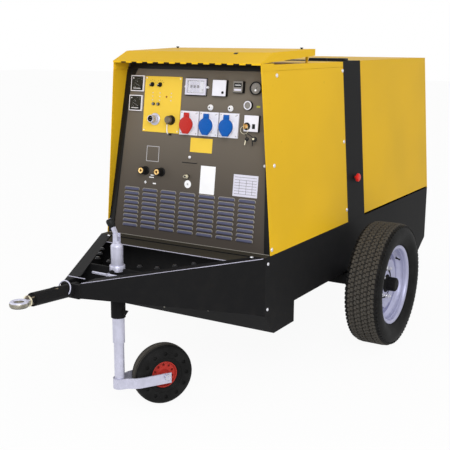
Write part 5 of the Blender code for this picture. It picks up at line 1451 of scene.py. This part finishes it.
studio = {"floor": tone(245, 245, 245), "floorSize": 60.0, "worldLevel": 0.56, "floorGlow": 0.94,
    "keyPower": 185.0, "keySize": 3.0, "keyAt": (3.0, -4.7, 3.4), "fillPower": 90.0, "fillSize": 5.0,
    "fillAt": (-5.5, -4.5, 3.2), "rearPower": 35.0, "rearAt": (4.5, 5.0, 4.0), "aim": (0.0, 0.1, 0.7)}


def seenDirectly(tree):
    # what the camera, a mirror or glass sees of the backdrop
    path = addNode(tree, "ShaderNodeLightPath", {}, {})
    seen = path.outputs["Is Camera Ray"]
    for ray in ("Is Glossy Ray", "Is Transmission Ray"):
        inputs = {0: seen, 1: path.outputs[ray]}
        seen = addNode(tree, "ShaderNodeMath", {"operation": "MAXIMUM"}, inputs).outputs[0]
    return seen


def mixShaders(tree, share, first, second):
    inputs = {0: share, 1: first.outputs[0], 2: second.outputs[0]}
    return addNode(tree, "ShaderNodeMixShader", {}, inputs).outputs[0]


def buildStudio():
    clearSelection()
    bpy.ops.mesh.primitive_plane_add(size=studio["floorSize"], location=(0, 0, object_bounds()[0].z))
    floor = bpy.context.object
    floor.name = "studioFloor"
    settle(floor)
    finish = Finish("studio floor", specular=0.2)
    speck = finish.noise(0.5, 2.0)
    finish.surface(finish.blend(speck, studio["floor"], darker(studio["floor"], 0.985)), 0.75)
    glow = addNode(finish.tree, "ShaderNodeEmission", {}, {})
    share = Level(finish, seenDirectly(finish.tree)) * studio["floorGlow"]
    shown = mixShaders(finish.tree, share.socket, finish.shader, glow)
    finish.tree.links.new(shown, finish.tree.nodes["Material Output"].inputs["Surface"])
    usePaint(floor, finish.material)
    world = bpy.data.worlds.new("studioWorld")
    world.use_nodes = True
    bpy.context.scene.world = world
    tree = world.node_tree
    tree.nodes.clear()
    white = (1, 1, 1, 1)
    lit = addNode(tree, "ShaderNodeBackground", {}, {"Color": white, "Strength": studio["worldLevel"]})
    plain = addNode(tree, "ShaderNodeBackground", {}, {"Color": white, "Strength": 1.0})
    addNode(tree, "ShaderNodeOutputWorld", {}, {"Surface": mixShaders(tree, seenDirectly(tree), lit, plain)})
    aim = Vector(studio["aim"])
    for name, at, size, power in (("keyLamp", studio["keyAt"], studio["keySize"], studio["keyPower"]),
            ("fillLamp", studio["fillAt"], studio["fillSize"], studio["fillPower"]),
            ("rearLamp", studio["rearAt"], studio["fillSize"], studio["rearPower"])):
        clearSelection()
        bpy.ops.object.light_add(type="AREA", location=at)
        lamp = bpy.context.object
        lamp.name = name
        lamp.data.energy = power
        lamp.data.size = size
        lamp.rotation_euler = (aim - Vector(at)).to_track_quat("-Z", "Y").to_euler()


view = {"at": (2.069, -3.5674, 1.4991), "turn": 31.17, "down": 12.21, "roll": 0.317, "sensor": 36.0,
    "farthest": 100.0, "lens": 68.03}


def setCamera():
    clearSelection()
    bpy.ops.object.camera_add()
    camera = bpy.context.object
    camera.data.lens = view["lens"]
    camera.data.sensor_width = view["sensor"]
    camera.data.clip_end = view["farthest"]
    spin = turnBy(radians(view["turn"]), "Z")
    spin = spin @ turnBy(radians(90 - view["down"]), "X")
    camera.matrix_world = moveBy(view["at"]) @ spin @ turnBy(radians(view["roll"]), "Z")
    bpy.context.scene.camera = camera


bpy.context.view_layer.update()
buildStudio()
setCamera()
bpy.context.scene.view_settings.view_transform = "Standard"
print("studio lit")
